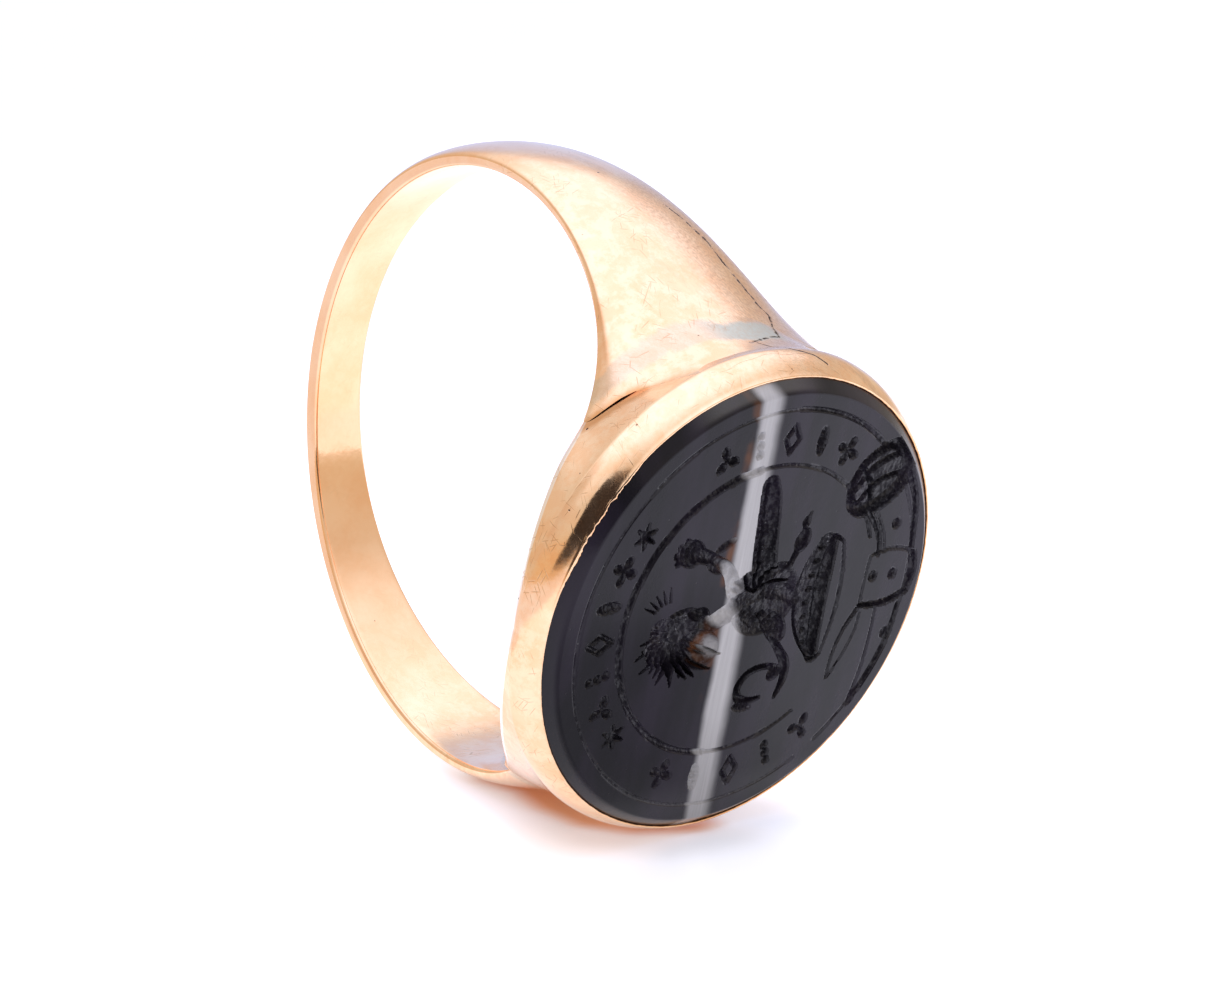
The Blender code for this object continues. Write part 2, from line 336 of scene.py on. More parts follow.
def finger_depth(turn, growth):
    """Depth at which the wall, grown by an amount, reaches the finger hole, for each turn."""
    shallow = np.zeros_like(turn)
    deep = np.full_like(turn, WALL_DEPTH)
    for _ in range(40):
        middle = 0.5 * (shallow + deep)
        point = wall_point(turn, middle, growth)
        outside = np.hypot(point[..., 0], point[..., 2]) > FINGER_RADIUS
        shallow = np.where(outside, middle, shallow)
        deep = np.where(outside, deep, middle)
    return 0.5 * (shallow + deep)


def on_finger(point):
    """The point moved along the seal axis onto the finger hole's wall."""
    moved = point.copy()
    moved[..., 0] = np.sqrt(np.maximum(FINGER_RADIUS**2 - point[..., 2] ** 2, 0.0))
    return moved


def corner_swell(turn, depth, bottom):
    """Extra half size where the wall's oval grows squarer towards the finger, clear of the shoulders."""
    reach = np.abs(np.cos(turn))
    clear = np.where(np.sin(turn) > 0.0, smoothstep(*UPPER_CLEAR, reach), smoothstep(*LOWER_CLEAR, reach))
    size = np.where(np.sin(turn) > 0.0, UPPER_SWELL, LOWER_SWELL)
    return size * np.abs(np.sin(2.0 * turn)) * clear * smoothstep(0.3, 1.0, depth / bottom)


def shaped_wall(turn, depth, bottom, growth=0.0):
    """Point of the wall's outside, rounded in towards the lip and squarer towards the finger."""
    along, across = sizes_at(turn, depth)
    closing = np.clip(1.0 - depth / WAIST_TOP, 0.0, 1.0) ** 2
    crest = LIP_OPENING - lip_push(turn) + LIP_STRIP
    along = along - (along - crest) * closing
    across = across - (across - crest * STONE_RATIO) * closing
    swell = growth + corner_swell(turn, depth, bottom)
    widest = BEZEL_ALONG - WITHIN
    side = np.clip((along + swell) * np.cos(turn), -widest, widest)
    return np.stack([LIP_HEIGHT - depth, side, (across + swell) * np.sin(turn)], axis=-1)


def stone_level(half):
    """Height of the stone's bevel where the half size along the finger has a value."""
    sizes, heights = zip(*BEVEL)
    return np.interp(half, sizes, heights)


def stone_oval(turn, half, height):
    """Points of an oval with the stone's proportions, round the seal axis."""
    across = half * STONE_RATIO
    return np.stack([np.full_like(turn, height), half * np.cos(turn), across * np.sin(turn)], axis=-1)


def lip_push(turn):
    """How far the lip is pushed in over the stone: more on one side."""
    place = np.degrees(turn)
    return LIP_PUSH * smoothstep(*PUSH_START, place) * (1.0 - smoothstep(*PUSH_END, place))


def lip_edge(turn):
    """Half size of the lip's opening: worn thin all round, and nicked where it is pushed over the stone."""
    place = np.degrees(turn)
    pushed = lip_push(turn)
    level = np.zeros_like(turn)
    wide, narrow = LIP_NICK_STEPS
    nicks = lattice_noise(place / wide, level, 1.0, 11) + 0.6 * lattice_noise(place / narrow, level, 1.0, 12)
    return LIP_OPENING - pushed - (LIP_WEAR + LIP_NICKS * pushed) * nicks


def bezel_collar():
    """Oval wall with its lip burnished over the stone."""
    turn = np.linspace(0.0, 2.0 * math.pi, OVAL_STEPS, endpoint=False)
    bottom = finger_depth(turn, 0.0)
    free = smoothstep(*RIM_CLEAR, np.abs(np.cos(turn)))
    radius = RIM_TIGHT + RIM_EXTRA * free
    rows = []
    # Finger-side face, from the inner edge out to the rounded rim.
    inner = wall_point(turn, finger_depth(turn, -INNER_WALL), -INNER_WALL)
    outer = shaped_wall(turn, bottom, bottom)
    shrunk = shaped_wall(turn, bottom, bottom, -radius)
    for share in FACE_SHARES:
        rows.append(on_finger(inner * (1.0 - share) + shrunk * share))
    base = on_finger(shrunk)
    lifted = shaped_wall(turn, bottom - radius, bottom)
    for share in RIM_SHARES:
        rows.append(base * (1.0 - share) ** 2 + outer * 2.0 * share * (1.0 - share) + lifted * share**2)
    # Outside, up to the lip.
    for i in range(1, WALL_ROWS + 1):
        share = i / WALL_ROWS
        rows.append(shaped_wall(turn, (bottom - radius) * (1.0 - share) + LIP_ROUND * share, bottom))
    # The rounded lip, its narrow top and its edge on the stone.
    crest = shaped_wall(turn, np.full_like(turn, LIP_ROUND), bottom)
    edge = lip_edge(turn)
    opening = stone_oval(turn, edge, np.maximum(stone_level(edge) + 0.012, LIP_HEIGHT - 0.035))
    for share, lift in LIP_PROFILE:
        row = crest * (1.0 - share) + opening * share
        row[:, 0] += lift
        rows.append(row)
    # Inside, under the stone.
    rows.append(stone_oval(turn, edge, stone_level(edge) - 0.02))
    for height in (GIRDLE_TOP, STONE_BOTTOM):
        rows.append(stone_oval(turn, STONE_ALONG + FIT, height))
    rows.append(wall_point(turn, np.full_like(turn, LIP_HEIGHT - STONE_BOTTOM), -INNER_WALL))
    points = np.stack(rows)
    faces = grid_faces(len(rows), OVAL_STEPS, closed_rows=True, closed_columns=True)
    sheet = (np.broadcast_to(turn * BEZEL_ALONG, points.shape[:2]), run_lengths(points, 0))
    # Painted highlight: the finger-side rim, where it is clear of the shoulders, is marked to be painted
    # pale.
    rim = np.zeros(points.shape[:2])
    rim[len(FACE_SHARES) : len(FACE_SHARES) + len(RIM_SHARES) + 1] = free
    # Painted reflection: the lip's edge is marked to be painted orange.
    lip_reflection = np.zeros(points.shape[:2])
    lip_reflection[-LIP_EDGE_ROWS:] = 1.0
    values = {"rim": rim, "lip_reflection": lip_reflection, "seam": np.full(points.shape[:2], NO_SEAM)}
    return add_piece(
        "bezel_wall", points.reshape(-1, 3), faces, ["bezel_collar"], values, sheet
    )


def back_plate():
    """Curved plate on the finger's side."""
    turn = np.linspace(0.0, 2.0 * math.pi, OVAL_STEPS, endpoint=False)
    growth = -INNER_WALL - 0.015
    edge = wall_point(turn, finger_depth(turn, growth), growth)
    rows = [on_finger(edge * share) for share in PLATE_SHARES]
    scale = (FINGER_RADIUS + PLATE_THICKNESS) / FINGER_RADIUS
    outer = [row * np.array([scale, 1.0, scale]) for row in rows]
    points = np.concatenate([np.stack(rows), np.stack(outer)[::-1]])
    count = len(points)
    faces = grid_faces(count, OVAL_STEPS, closed_columns=True)
    faces = [face[::-1] for face in faces]
    faces.append(list(range(OVAL_STEPS)))
    faces.append(list(range((count - 1) * OVAL_STEPS, count * OVAL_STEPS))[::-1])
    sheet = (points[..., 1], points[..., 2])
    values = {"seam": np.full(points.shape[:2], NO_SEAM)}
    return add_piece(
        "finger_plate", points.reshape(-1, 3), faces, ["back_plate"], values, sheet
    )


# --- shoulders --------------------------------------------------------------------------------------

SLIT = 0.55
SLIT_ACROSS = (-0.93, -0.80)
FILLET = 0.98
FILLET_END = -0.93
FILLET_STEPS = 13
# Where across the shoulder the fillet swells to its full size, and where it thins again.
FILLET_GROWS = (-0.92, -0.45)
FILLET_SHRINKS = (0.20, 0.75)
# The fillet's surface stands proud by this much, is sunk at the slit, and its root lies this deep.
FILLET_PROUD = 0.003
FILLET_SUNK = 0.14
FILLET_ROOT = 0.30
JOINT_GAP = math.degrees((2.0 * FIT + SOLDER) / FINGER_RADIUS)


def shoulder_ends(sign):
    """Angle in degrees at which each line of the section meets the bezel's wall."""
    angles = np.radians(np.linspace(110.0, LOFT_END + 4.0, 800))[:, None] * sign
    angle = np.broadcast_to(angles, (800, len(SECTION)))
    outside = inside_wall(hoop_points(angle)) > 0.0
    first = np.argmin(outside, axis=0)
    return np.degrees(angles[first, 0])


def shoulder(name, node, sign):
    """A shoulder, from the strip's seam to the bezel's wall."""
    ends = shoulder_ends(sign) - sign * slit_width(sign)
    return hoop_piece(name, sign * (BAND_END + JOINT_GAP), ends, 150, [node], seamed=True)


def slit_width(sign):
    """Degrees by which each line of the section stops short of the wall, where the solder left a slit."""
    if sign < 0.0:
        return np.zeros(len(SECTION))
    return SLIT * (1.0 - smoothstep(*SLIT_ACROSS, SECTION_ACROSS))


def band_joint(name, node, sign):
    """The thin soldered joint between the strip and a shoulder, filed flush."""
    return hoop_piece(name, sign * BAND_END, sign * (BAND_END + JOINT_GAP), 2, [node])


def solder_fillet(name, node, sign):
    """The run of solder in the corner between a shoulder and the wall, starved at its near end."""
    columns = [i for i in range(FLAT_STEPS + 1, len(SECTION)) if SECTION_ACROSS[i] > FILLET_END]
    across = SECTION_ACROSS[columns]
    ends = np.radians(shoulder_ends(sign))
    seam = hoop_points(ends[None, :])[0][columns]
    size = FILLET * smoothstep(*FILLET_GROWS, across) * (1.0 - 0.8 * smoothstep(*FILLET_SHRINKS, across))
    size = size * (1.0 + 0.06 * np.sin(9.0 * across) + 0.03 * np.sin(23.0 * across)) + 0.03
    sunk = FILLET_SUNK * (1.0 - smoothstep(*SLIT_ACROSS, across))
    on_shoulder = []
    for column, reach in zip(columns, size):
        angle = ends.copy()
        angle[column] -= sign * reach / (FINGER_RADIUS + BAND_THICKNESS)
        on_shoulder.append(hoop_points(angle[None, :])[0][column])
    on_shoulder = np.array(on_shoulder)
    depth = LIP_HEIGHT - seam[:, 0]
    along, above, below = wall_sizes(depth)
    side = above if sign > 0.0 else below
    turn = np.arctan2(seam[:, 2] / side, seam[:, 1] / along)
    on_wall = shaped_wall(turn, depth - size, finger_depth(turn, 0.0))
    outward = seam * np.array([0.6, 0.0, 1.0])
    outward = outward / np.linalg.norm(outward, axis=1)[:, None]
    rows = []
    shares = np.linspace(0.0, 1.0, FILLET_STEPS)
    for share in shares:
        curve = on_shoulder * (1.0 - share) ** 2 + seam * 2.0 * share * (1.0 - share) + on_wall * share**2
        rows.append(curve + outward * (FILLET_PROUD - sunk)[:, None])
    rows.append(seam - outward * FILLET_ROOT)
    points = np.stack(rows)
    signed = size * np.concatenate([1.0 - 2.0 * shares, [0.0]])[:, None]
    faces = grid_faces(len(rows), len(columns), closed_rows=True)
    if sign < 0.0:
        faces = [face[::-1] for face in faces]
    count = len(columns)
    for column in (0, count - 1):
        cap = [row * count + column for row in range(len(rows))]
        faces.append(cap if (column == 0) == (sign > 0.0) else cap[::-1])
    sheet = (signed, np.broadcast_to(across * 5.0, signed.shape))
    return add_piece(name, points.reshape(-1, 3), faces, [node], {"seam": signed}, sheet)


# --- the stone --------------------------------------------------------------------------------------

STONE_TURNS = 960
TABLE_ROWS = 210
# Half sizes, along the finger and up, of the ovals that the border follows.
OUTER_LINE = (6.50, 6.34)
INNER_LINE = (4.88, 4.60)
BORDER_MIDDLE = (5.66, 5.42)
# Half-width, depth, and first and last turn in degrees of each stretch of the inner line.
INNER_LINE_CUTS = ((0.07, 0.09, 22.0, 304.0), (0.135, 0.17, 98.0, 205.0), (0.10, 0.13, 205.0, 262.0))
# First and last turn in degrees, and number, of the ornaments in each run.
ORNAMENT_RUNS = ((61.0, 112.0, 5), (146.0, 218.0, 7), (247.0, 305.0, 5))
ORNAMENTS = ("quatrefoil", "leaf", "lozenge", "pellets", "trefoil", "star")
# Half size along the finger and height of the rings of points below the table.
STONE_SIDES = (
    (7.10, 10.98), (7.25, 10.845), (7.40, 10.71), (7.48, 10.635), (7.50, 10.60), (7.50, STONE_BOTTOM)
)


def lattice_noise(along, up, cell, seed):
    """Smooth noise from -1 to 1 with a given cell size in millimetres."""
    table = np.random.default_rng(seed).uniform(-1.0, 1.0, (256, 256))
    column = along / cell
    row = up / cell
    left = np.floor(column).astype(int)
    low = np.floor(row).astype(int)
    across = column - left
    lift = row - low
    across = across * across * (3.0 - 2.0 * across)
    lift = lift * lift * (3.0 - 2.0 * lift)
    corner = [table[(low + i) % 256, (left + j) % 256] for i in (0, 1) for j in (0, 1)]
    bottom = corner[0] * (1.0 - across) + corner[1] * across
    top = corner[2] * (1.0 - across) + corner[3] * across
    return bottom * (1.0 - lift) + top * lift


class Engraving:
    """Depth of what is cut into the seal face, in millimetres, built up cut by cut."""

    def __init__(self, along, up):
        self.along = along
        self.up = up
        self.depth = np.zeros_like(along)

    def cut(self, near, depth):
        """Keep the deeper of the old and the new depth at the chosen points."""
        self.depth[near] = np.maximum(self.depth[near], depth)

    def near(self, low, high):
        """Points inside a box."""
        return (
            (self.along > low[0]) & (self.along < high[0]) & (self.up > low[1]) & (self.up < high[1])
        )

    def blob(self, middle, size, angle, depth, ribs=0.0, rib_step=0.2, power=0.5):
        """Hollow in the shape of an ellipsoid, with ribs across its long side if asked."""
        reach = max(size)
        near = self.near(np.subtract(middle, reach), np.add(middle, reach))
        x = self.along[near] - middle[0]
        y = self.up[near] - middle[1]
        turn = math.radians(angle)
        long = x * math.cos(turn) + y * math.sin(turn)
        short = y * math.cos(turn) - x * math.sin(turn)
        left = np.maximum(1.0 - (long / size[0]) ** 2 - (short / size[1]) ** 2, 0.0)
        bowed = long + 0.3 * short**2 / size[1]
        wave = 1.0 - ribs * (0.5 + 0.5 * np.cos(2.0 * math.pi * bowed / rib_step))
        self.cut(near, depth * left**power * wave)

    def stroke(self, points, widths, depth, ribs=0.0, rib_step=0.2, power=0.5):
        """Groove along a smooth curve through points, with a half-width at each of them."""
        curve, halves = smooth_curve(points, widths)
        widest = halves.max()
        box = np.flatnonzero(self.near(curve.min(axis=0) - widest, curve.max(axis=0) + widest))
        along = self.along.ravel()[box]
        up = self.up.ravel()[box]
        run = 0.0
        for start, end, first, last in zip(curve, curve[1:], halves, halves[1:]):
            reach = max(first, last)
            low = np.minimum(start, end) - reach
            high = np.maximum(start, end) + reach
            near = (along > low[0]) & (along < high[0]) & (up > low[1]) & (up < high[1])
            step = end - start
            length = max(float(np.hypot(*step)), 1e-6)
            x = along[near] - start[0]
            y = up[near] - start[1]
            share = np.clip((x * step[0] + y * step[1]) / length**2, 0.0, 1.0)
            gap = np.hypot(x - share * step[0], y - share * step[1])
            half = first + (last - first) * share
            left = np.maximum(1.0 - (gap / np.maximum(half, 1e-6)) ** 2, 0.0)
            wave = 1.0 - ribs * (0.5 + 0.5 * np.cos(2.0 * math.pi * (run + share * length) / rib_step))
            self.cut(np.unravel_index(box[near], self.depth.shape), depth * left**power * wave)
            run += length

    def oval_line(self, sizes, half, depth, start, end):
        """Groove along an oval between two turns in degrees."""
        turns = np.radians(np.linspace(start, end, 120))
        points = np.stack([sizes[0] * np.cos(turns), sizes[1] * np.sin(turns)], axis=1)
        self.stroke(points, np.full(len(points), half), depth)


# A line with more points than this is used as it is.
SMOOTH_ENOUGH = 40


def smooth_curve(points, widths, steps=6):
    """Points and half-widths along a Catmull-Rom curve through the given ones."""
    places = np.asarray(points, dtype=float)
    halves = np.broadcast_to(np.asarray(widths, dtype=float), (len(places),))
    if len(places) > SMOOTH_ENOUGH:
        return places, halves
    rows = np.column_stack([places, halves])
    rows = np.vstack([2.0 * rows[0] - rows[1], rows, 2.0 * rows[-1] - rows[-2]])
    out = []
    for i in range(1, len(rows) - 2):
        before, start, end, after = rows[i - 1 : i + 3]
        for j in range(steps):
            t = j / steps
            out.append(
                0.5
                * (
                    2.0 * start
                    + (end - before) * t
                    + (2.0 * before - 5.0 * start + 4.0 * end - after) * t**2
                    + (3.0 * start - before - 3.0 * end + after) * t**3
                )
            )
    out.append(rows[-2])
    out = np.array(out)
    return out[:, :2], np.maximum(out[:, 2], 0.01)


def on_oval(sizes, turn, middle=(0.0, 0.0)):
    """Point of an oval round a middle, at a turn in degrees."""
    swing = math.radians(turn)
    return np.array([middle[0] + sizes[0] * math.cos(swing), middle[1] + sizes[1] * math.sin(swing)])


def ornament(cuts, turn, kind):
    """One small border ornament: quatrefoil, leaf, lozenge, trefoil, star or pellets."""
    middle = on_oval(BORDER_MIDDLE, turn)
    if kind in ("quatrefoil", "trefoil"):
        count = 4 if kind == "quatrefoil" else 3
        for i in range(count):
            swing = turn + 360.0 * i / count
            cuts.blob(on_oval((0.27, 0.27), swing, middle), (0.21, 0.15), swing, 0.19)
        cuts.blob(middle, (0.10, 0.10), 0.0, 0.15)
    elif kind == "leaf":
        cuts.blob(middle, (0.47, 0.19), turn + 12.0, 0.20, ribs=0.35, rib_step=0.16)
    elif kind == "lozenge":
        corners = []
        for i in range(5):
            size = 0.44 if i % 2 == 0 else 0.27
            corners.append(on_oval((size, size), turn + 90.0 * i, middle))
        for start, end in zip(corners, corners[1:]):
            cuts.stroke([start, 0.5 * (start + end), end], 0.085, 0.16)
    elif kind == "star":
        for i in range(3):
            arm = on_oval((0.40, 0.40), turn + 60.0 * i)
            cuts.stroke([middle - arm, middle, middle + arm], [0.04, 0.12, 0.04], 0.17)
    else:
        for shift in (-0.30, 0.0, 0.30):
            cuts.blob(on_oval((shift, shift), turn, middle), (0.15, 0.15), 0.0, 0.17)


def border(cuts):
    """Two thin lines, and a run of small ornaments between them."""
    cuts.oval_line(OUTER_LINE, 0.055, 0.055, -52.0, 300.0)
    cuts.oval_line(OUTER_LINE, 0.090, 0.110, 40.0, 86.0)
    for half, depth, start, end in INNER_LINE_CUTS:
        cuts.oval_line(INNER_LINE, half, depth, start, end)
    place = 0
    for start, end, count in ORNAMENT_RUNS:
        for i in range(count):
            ornament(cuts, start + (end - start) * i / (count - 1), ORNAMENTS[place % len(ORNAMENTS)])
            place += 1


def strap(cuts):
    """The border's buckle, its keeper and the hanging strap end."""
    # Buckle: a heavy rounded frame with a tongue, set across the border.
    frame_points = [
        (3.30, 3.55),
        (3.75, 4.25),
        (4.75, 4.70),
        (5.45, 4.25),
        (5.50, 3.50),
        (4.75, 2.85),
        (3.95, 2.65),
        (3.42, 2.95),
        (3.30, 3.55),
    ]
    cuts.stroke(frame_points, 0.22, 0.36)
    cuts.blob((4.40, 3.65), (1.10, 0.95), 30.0, 0.13, power=0.15)
    cuts.stroke([(3.45, 3.2), (4.2, 4.0), (5.3, 4.4)], [0.10, 0.14, 0.10], 0.30)
    cuts.stroke([(3.75, 2.9), (4.5, 3.5), (5.4, 3.7)], [0.09, 0.11, 0.10], 0.30)
    cuts.stroke([(3.55, 4.2), (4.15, 3.5), (4.3, 2.8)], [0.08, 0.12, 0.08], 0.38)
    # Edges of the strap between the buckle and its keeper.
    cuts.stroke([(4.35, 2.45), (4.75, 1.95), (4.98, 1.45), (5.05, 1.05)], [0.11, 0.10, 0.09, 0.08], 0.16)
    cuts.stroke([(4.62, 2.50), (4.98, 1.95), (5.20, 1.45), (5.28, 1.10)], [0.05, 0.05, 0.05, 0.04], 0.08)
    cuts.stroke(
        [(5.45, 4.15), (5.75, 3.55), (6.15, 2.75), (6.35, 1.9), (6.48, 1.1)],
        [0.16, 0.14, 0.12, 0.10, 0.08],
        0.18,
    )
    # Keeper: a rounded loop, deepest along its lower and outer sides.
    cuts.stroke([(4.85, 1.08), (5.6, 1.18), (6.3, 1.06), (6.62, 0.85)], [0.06, 0.07, 0.08, 0.12], 0.10)
    cuts.stroke([(6.62, 0.85), (6.72, 0.25), (6.62, -0.35)], [0.14, 0.18, 0.14], 0.24)
    cuts.stroke([(6.62, -0.38), (5.9, -0.62), (5.2, -0.64), (4.72, -0.58)], [0.14, 0.13, 0.12, 0.10], 0.24)
    cuts.stroke([(4.74, 1.05), (4.70, 0.45), (4.70, -0.50)], [0.05, 0.04, 0.06], 0.07)
    for hole in ((5.55, 2.02), (5.02, 0.34), (5.86, 0.30), (6.10, -1.72)):
        cuts.blob(hole, (0.19, 0.19), 0.0, 0.17)
    # Hanging end of the strap.
    cuts.stroke([(4.62, -0.72), (4.22, -1.35), (3.98, -2.1), (3.92, -2.9)], [0.09, 0.07, 0.06, 0.05], 0.12)
    cuts.stroke([(4.80, -0.85), (4.72, -1.5), (4.40, -2.2), (3.98, -2.9)], [0.04, 0.05, 0.05, 0.04], 0.07)
    cuts.stroke([(5.45, -0.80), (5.46, -1.8), (5.36, -2.9), (5.12, -3.9)], [0.05, 0.05, 0.06, 0.06], 0.09)
    cuts.stroke([(6.42, -0.8), (6.25, -1.9), (5.85, -2.9), (5.15, -3.95)], [0.10, 0.12, 0.14, 0.12], 0.16)


def vessel(cuts):
    """The shallow beaded vessel that the branch grows from."""
    rim = [(2.50, 1.95), (2.18, 1.1), (2.08, 0.1), (2.25, -0.95), (2.95, -2.10)]
    cuts.stroke(
        [(2.72, 1.75), (2.48, 0.9), (2.42, 0.0), (2.60, -0.9), (3.02, -1.8)],
        [0.36, 0.56, 0.62, 0.54, 0.30],
        0.26,
    )
    cuts.stroke(rim, [0.08, 0.11, 0.12, 0.11, 0.08], 0.34)
    cuts.stroke(
        [(3.10, 1.85), (3.02, 1.0), (2.98, 0.1), (3.05, -0.9), (3.18, -1.95)],
        [0.10, 0.20, 0.24, 0.20, 0.10],
        0.33,
    )
    cuts.stroke(
        [(3.42, 1.75), (3.62, 0.9), (3.70, 0.0), (3.64, -0.9), (3.42, -1.95)],
        [0.05, 0.07, 0.08, 0.07, 0.05],
        0.10,
    )
    cuts.stroke([(2.55, 1.95), (3.0, 1.98), (3.42, 1.75)], [0.06, 0.07, 0.05], 0.16)
    cuts.stroke([(2.98, -2.12), (3.2, -2.15), (3.42, -1.98)], [0.08, 0.08, 0.05], 0.18)
    for i in range(8):
        up = 1.55 - 0.46 * i
        bow = 0.35 * (1.0 - (up / 2.0) ** 2)
        cuts.blob((2.82 - bow * 0.9 + 0.10, up), (0.17, 0.13), 20.0, 0.37)


def branch(cuts):
    """A leafing branch with a ribbed ear, two buds, a flower head and a curled tendril."""
    # Ribbed ear, pointing up.
    cuts.stroke(
        [(0.30, 1.25), (0.16, 2.1), (0.06, 3.0), (-0.03, 3.55), (-0.10, 3.85)],
        [0.50, 0.48, 0.45, 0.42, 0.36],
        0.44,
        ribs=0.30,
        rib_step=0.20,
    )
    cuts.blob((-0.14, 3.98), (0.36, 0.34), 80.0, 0.36)
    cuts.stroke([(0.40, 1.3), (0.28, 2.3), (0.10, 3.9)], [0.10, 0.09, 0.06], 0.50)
    # Stem and leaves round the middle.
    cuts.stroke(
        [(2.15, -0.1), (1.3, 0.35), (0.3, 0.25), (-0.6, 0.1), (-1.5, -0.25)],
        [0.22, 0.34, 0.42, 0.36, 0.30],
        0.36,
    )
    cuts.blob((0.60, 0.25), (1.30, 1.15), 10.0, 0.30)
    cuts.blob((0.62, 0.95), (0.85, 0.42), 18.0, 0.40, ribs=0.22, rib_step=0.24)
    cuts.blob((0.95, 0.35), (0.80, 0.34), -20.0, 0.45, ribs=0.25, rib_step=0.22)
    cuts.blob((0.30, -0.30), (0.62, 0.36), -40.0, 0.42, ribs=0.25, rib_step=0.2)
    cuts.blob((1.20, -0.70), (0.72, 0.40), -52.0, 0.42, ribs=0.25, rib_step=0.2)
    cuts.blob((-0.45, 0.72), (0.62, 0.34), 60.0, 0.34, ribs=0.2, rib_step=0.22)
    cuts.blob((0.82, -0.38), (0.20, 0.16), 30.0, 0.50)
    heart = (0.45, 0.35)
    for turn in (20.0, 55.0, 90.0, 125.0):
        bend = on_oval((0.6, 0.5), turn + math.degrees(0.3), heart)
        cuts.stroke([heart, bend, on_oval((1.15, 0.95), turn, heart)], [0.05, 0.09, 0.04], 0.52)
    # Bud on the left, on its own stem.
    cuts.stroke(
        [(-0.75, 0.75), (-1.15, 1.45), (-1.75, 1.85), (-2.35, 2.10)], [0.30, 0.22, 0.20, 0.24], 0.26
    )
    cuts.blob((-2.75, 2.22), (0.52, 0.44), 160.0, 0.40, ribs=0.2, rib_step=0.2)
    for turn in (110.0, 145.0, 180.0, 215.0):
        cuts.blob(on_oval((0.42, 0.36), turn, (-2.85, 2.22)), (0.19, 0.13), turn, 0.36)
    cuts.blob((-1.45, 2.30), (0.42, 0.14), 25.0, 0.18)
    cuts.blob((-1.75, 1.60), (0.36, 0.13), -30.0, 0.16)
    # Small bud on the right.
    cuts.stroke([(1.30, 1.15), (1.45, 1.55), (1.62, 1.9)], [0.10, 0.12, 0.16], 0.24)
    cuts.blob((1.66, 2.02), (0.40, 0.30), 70.0, 0.36)
    cuts.blob((1.66, 2.62), (0.20, 0.16), 80.0, 0.22)
    cuts.stroke([(1.66, 2.3), (1.66, 2.6), (1.78, 2.92)], [0.10, 0.09, 0.05], 0.2)
    # Flower head at the lower left, with a shaggy fringe.
    cuts.blob((-2.75, -0.45), (1.15, 0.86), 24.0, 0.44, ribs=0.12, rib_step=0.3)
    cuts.blob((-1.75, -0.95), (0.85, 0.62), -20.0, 0.42)
    cuts.blob((-3.35, -0.10), (0.42, 0.36), 0.0, 0.48)
    cuts.blob((-2.55, 0.20), (0.40, 0.26), 20.0, 0.48)
    cuts.blob((-1.90, 0.10), (0.34, 0.30), -30.0, 0.46)
    head = (-2.35, -0.55)
    for i in range(17):
        turn = 168.0 + 9.5 * i
        bend = math.degrees(0.10 * math.sin(2.1 * i))
        reach = 1.0 + 0.12 * math.sin(3.7 * i)
        root = on_oval((0.45, 0.35), turn, head)
        middle = on_oval((1.05 * reach, 0.90 * reach), turn + bend, head)
        tip = on_oval((1.72 * reach, 1.36 * reach), turn + math.degrees(0.16), head)
        cuts.stroke([root, middle, tip], [0.13, 0.115, 0.02], 0.47)
    for i in range(5):
        turn = 100.0 + 13.0 * i
        start = on_oval((0.75, 0.55), turn, (-3.1, 0.25))
        end = on_oval((1.25, 1.0), turn, (-3.1, 0.25))
        cuts.stroke([start, np.add(start, end) * 0.5, end], [0.05, 0.035, 0.01], 0.12)
    # Curled tendril below.
    cuts.stroke(
        [(1.25, -1.1), (1.62, -1.55), (1.98, -2.05), (2.06, -2.6), (1.86, -3.15)],
        [0.14, 0.15, 0.19, 0.16, 0.08],
        0.28,
    )
    cuts.stroke(
        [
            (1.90, -2.25),
            (1.30, -2.05),
            (0.62, -2.12),
            (0.24, -2.50),
            (0.30, -2.92),
            (0.72, -3.12),
            (1.22, -3.08),
        ],
        [0.10, 0.10, 0.12, 0.14, 0.14, 0.13, 0.06],
        0.26,
    )
    cuts.blob((1.62, -2.32), (0.30, 0.24), 30.0, 0.34)
    cuts.blob((0.55, -3.28), (0.42, 0.16), -8.0, 0.20, ribs=0.5, rib_step=0.12)


# Tool marks, as a share of a cut's depth and in millimetres, and the polish's broad and fine waves.
MARK_SHARE = 0.06
MARK_DEPTH = 0.012
BROAD_WAVE = 0.0016
FINE_WAVE = 0.0008


def table_relief(along, up):
    """Height of the seal face over its flat, in millimetres: below zero where it is cut."""
    cuts = Engraving(along, up)
    border(cuts)
    strap(cuts)
    vessel(cuts)
    branch(cuts)
    depth = cuts.depth
    # Tool marks inside the cuts, and a faintly uneven polish.
    carved = smoothstep(0.02, 0.20, depth)
    marks = 0.6 * lattice_noise(along + 0.5 * up, up, 0.10, 1) + 0.4 * lattice_noise(along, up, 0.05, 2)
    depth = depth * (1.0 + MARK_SHARE * marks) + MARK_DEPTH * carved * marks
    polish = BROAD_WAVE * lattice_noise(along, up, 0.9, 3) + FINE_WAVE * lattice_noise(along, up, 0.22, 4)
    return polish - depth - WITHIN


def seal_stone():
    """The engraved stone, as rings of points from the middle of its table down to its underside."""
    turn = np.linspace(0.0, 2.0 * math.pi, STONE_TURNS, endpoint=False)
    shares = np.linspace(0.004, 1.0, TABLE_ROWS)
    across = shares[:, None] * TABLE_ALONG
    along = across * np.cos(turn)
    up = across * STONE_RATIO * np.sin(turn)
    relief = table_relief(along, up)
    rows = list(np.stack([STONE_TOP + relief, along, up], axis=-1))
    for half, height in STONE_SIDES:
        rows.append(stone_oval(turn, half, height))
    points = np.stack(rows)
    count = len(rows)
    cut = np.zeros(points.shape[:2])
    cut[: len(shares)] = -relief
    faces = grid_faces(count, STONE_TURNS, closed_columns=True)
    faces = [face[::-1] for face in faces]
    faces.append(list(range(STONE_TURNS)))
    faces.append(list(range((count - 1) * STONE_TURNS, count * STONE_TURNS))[::-1])
    return add_piece(
        "engraved_seal", points.reshape(-1, 3), faces, ["seal_stone"], {"cut": cut}
    )


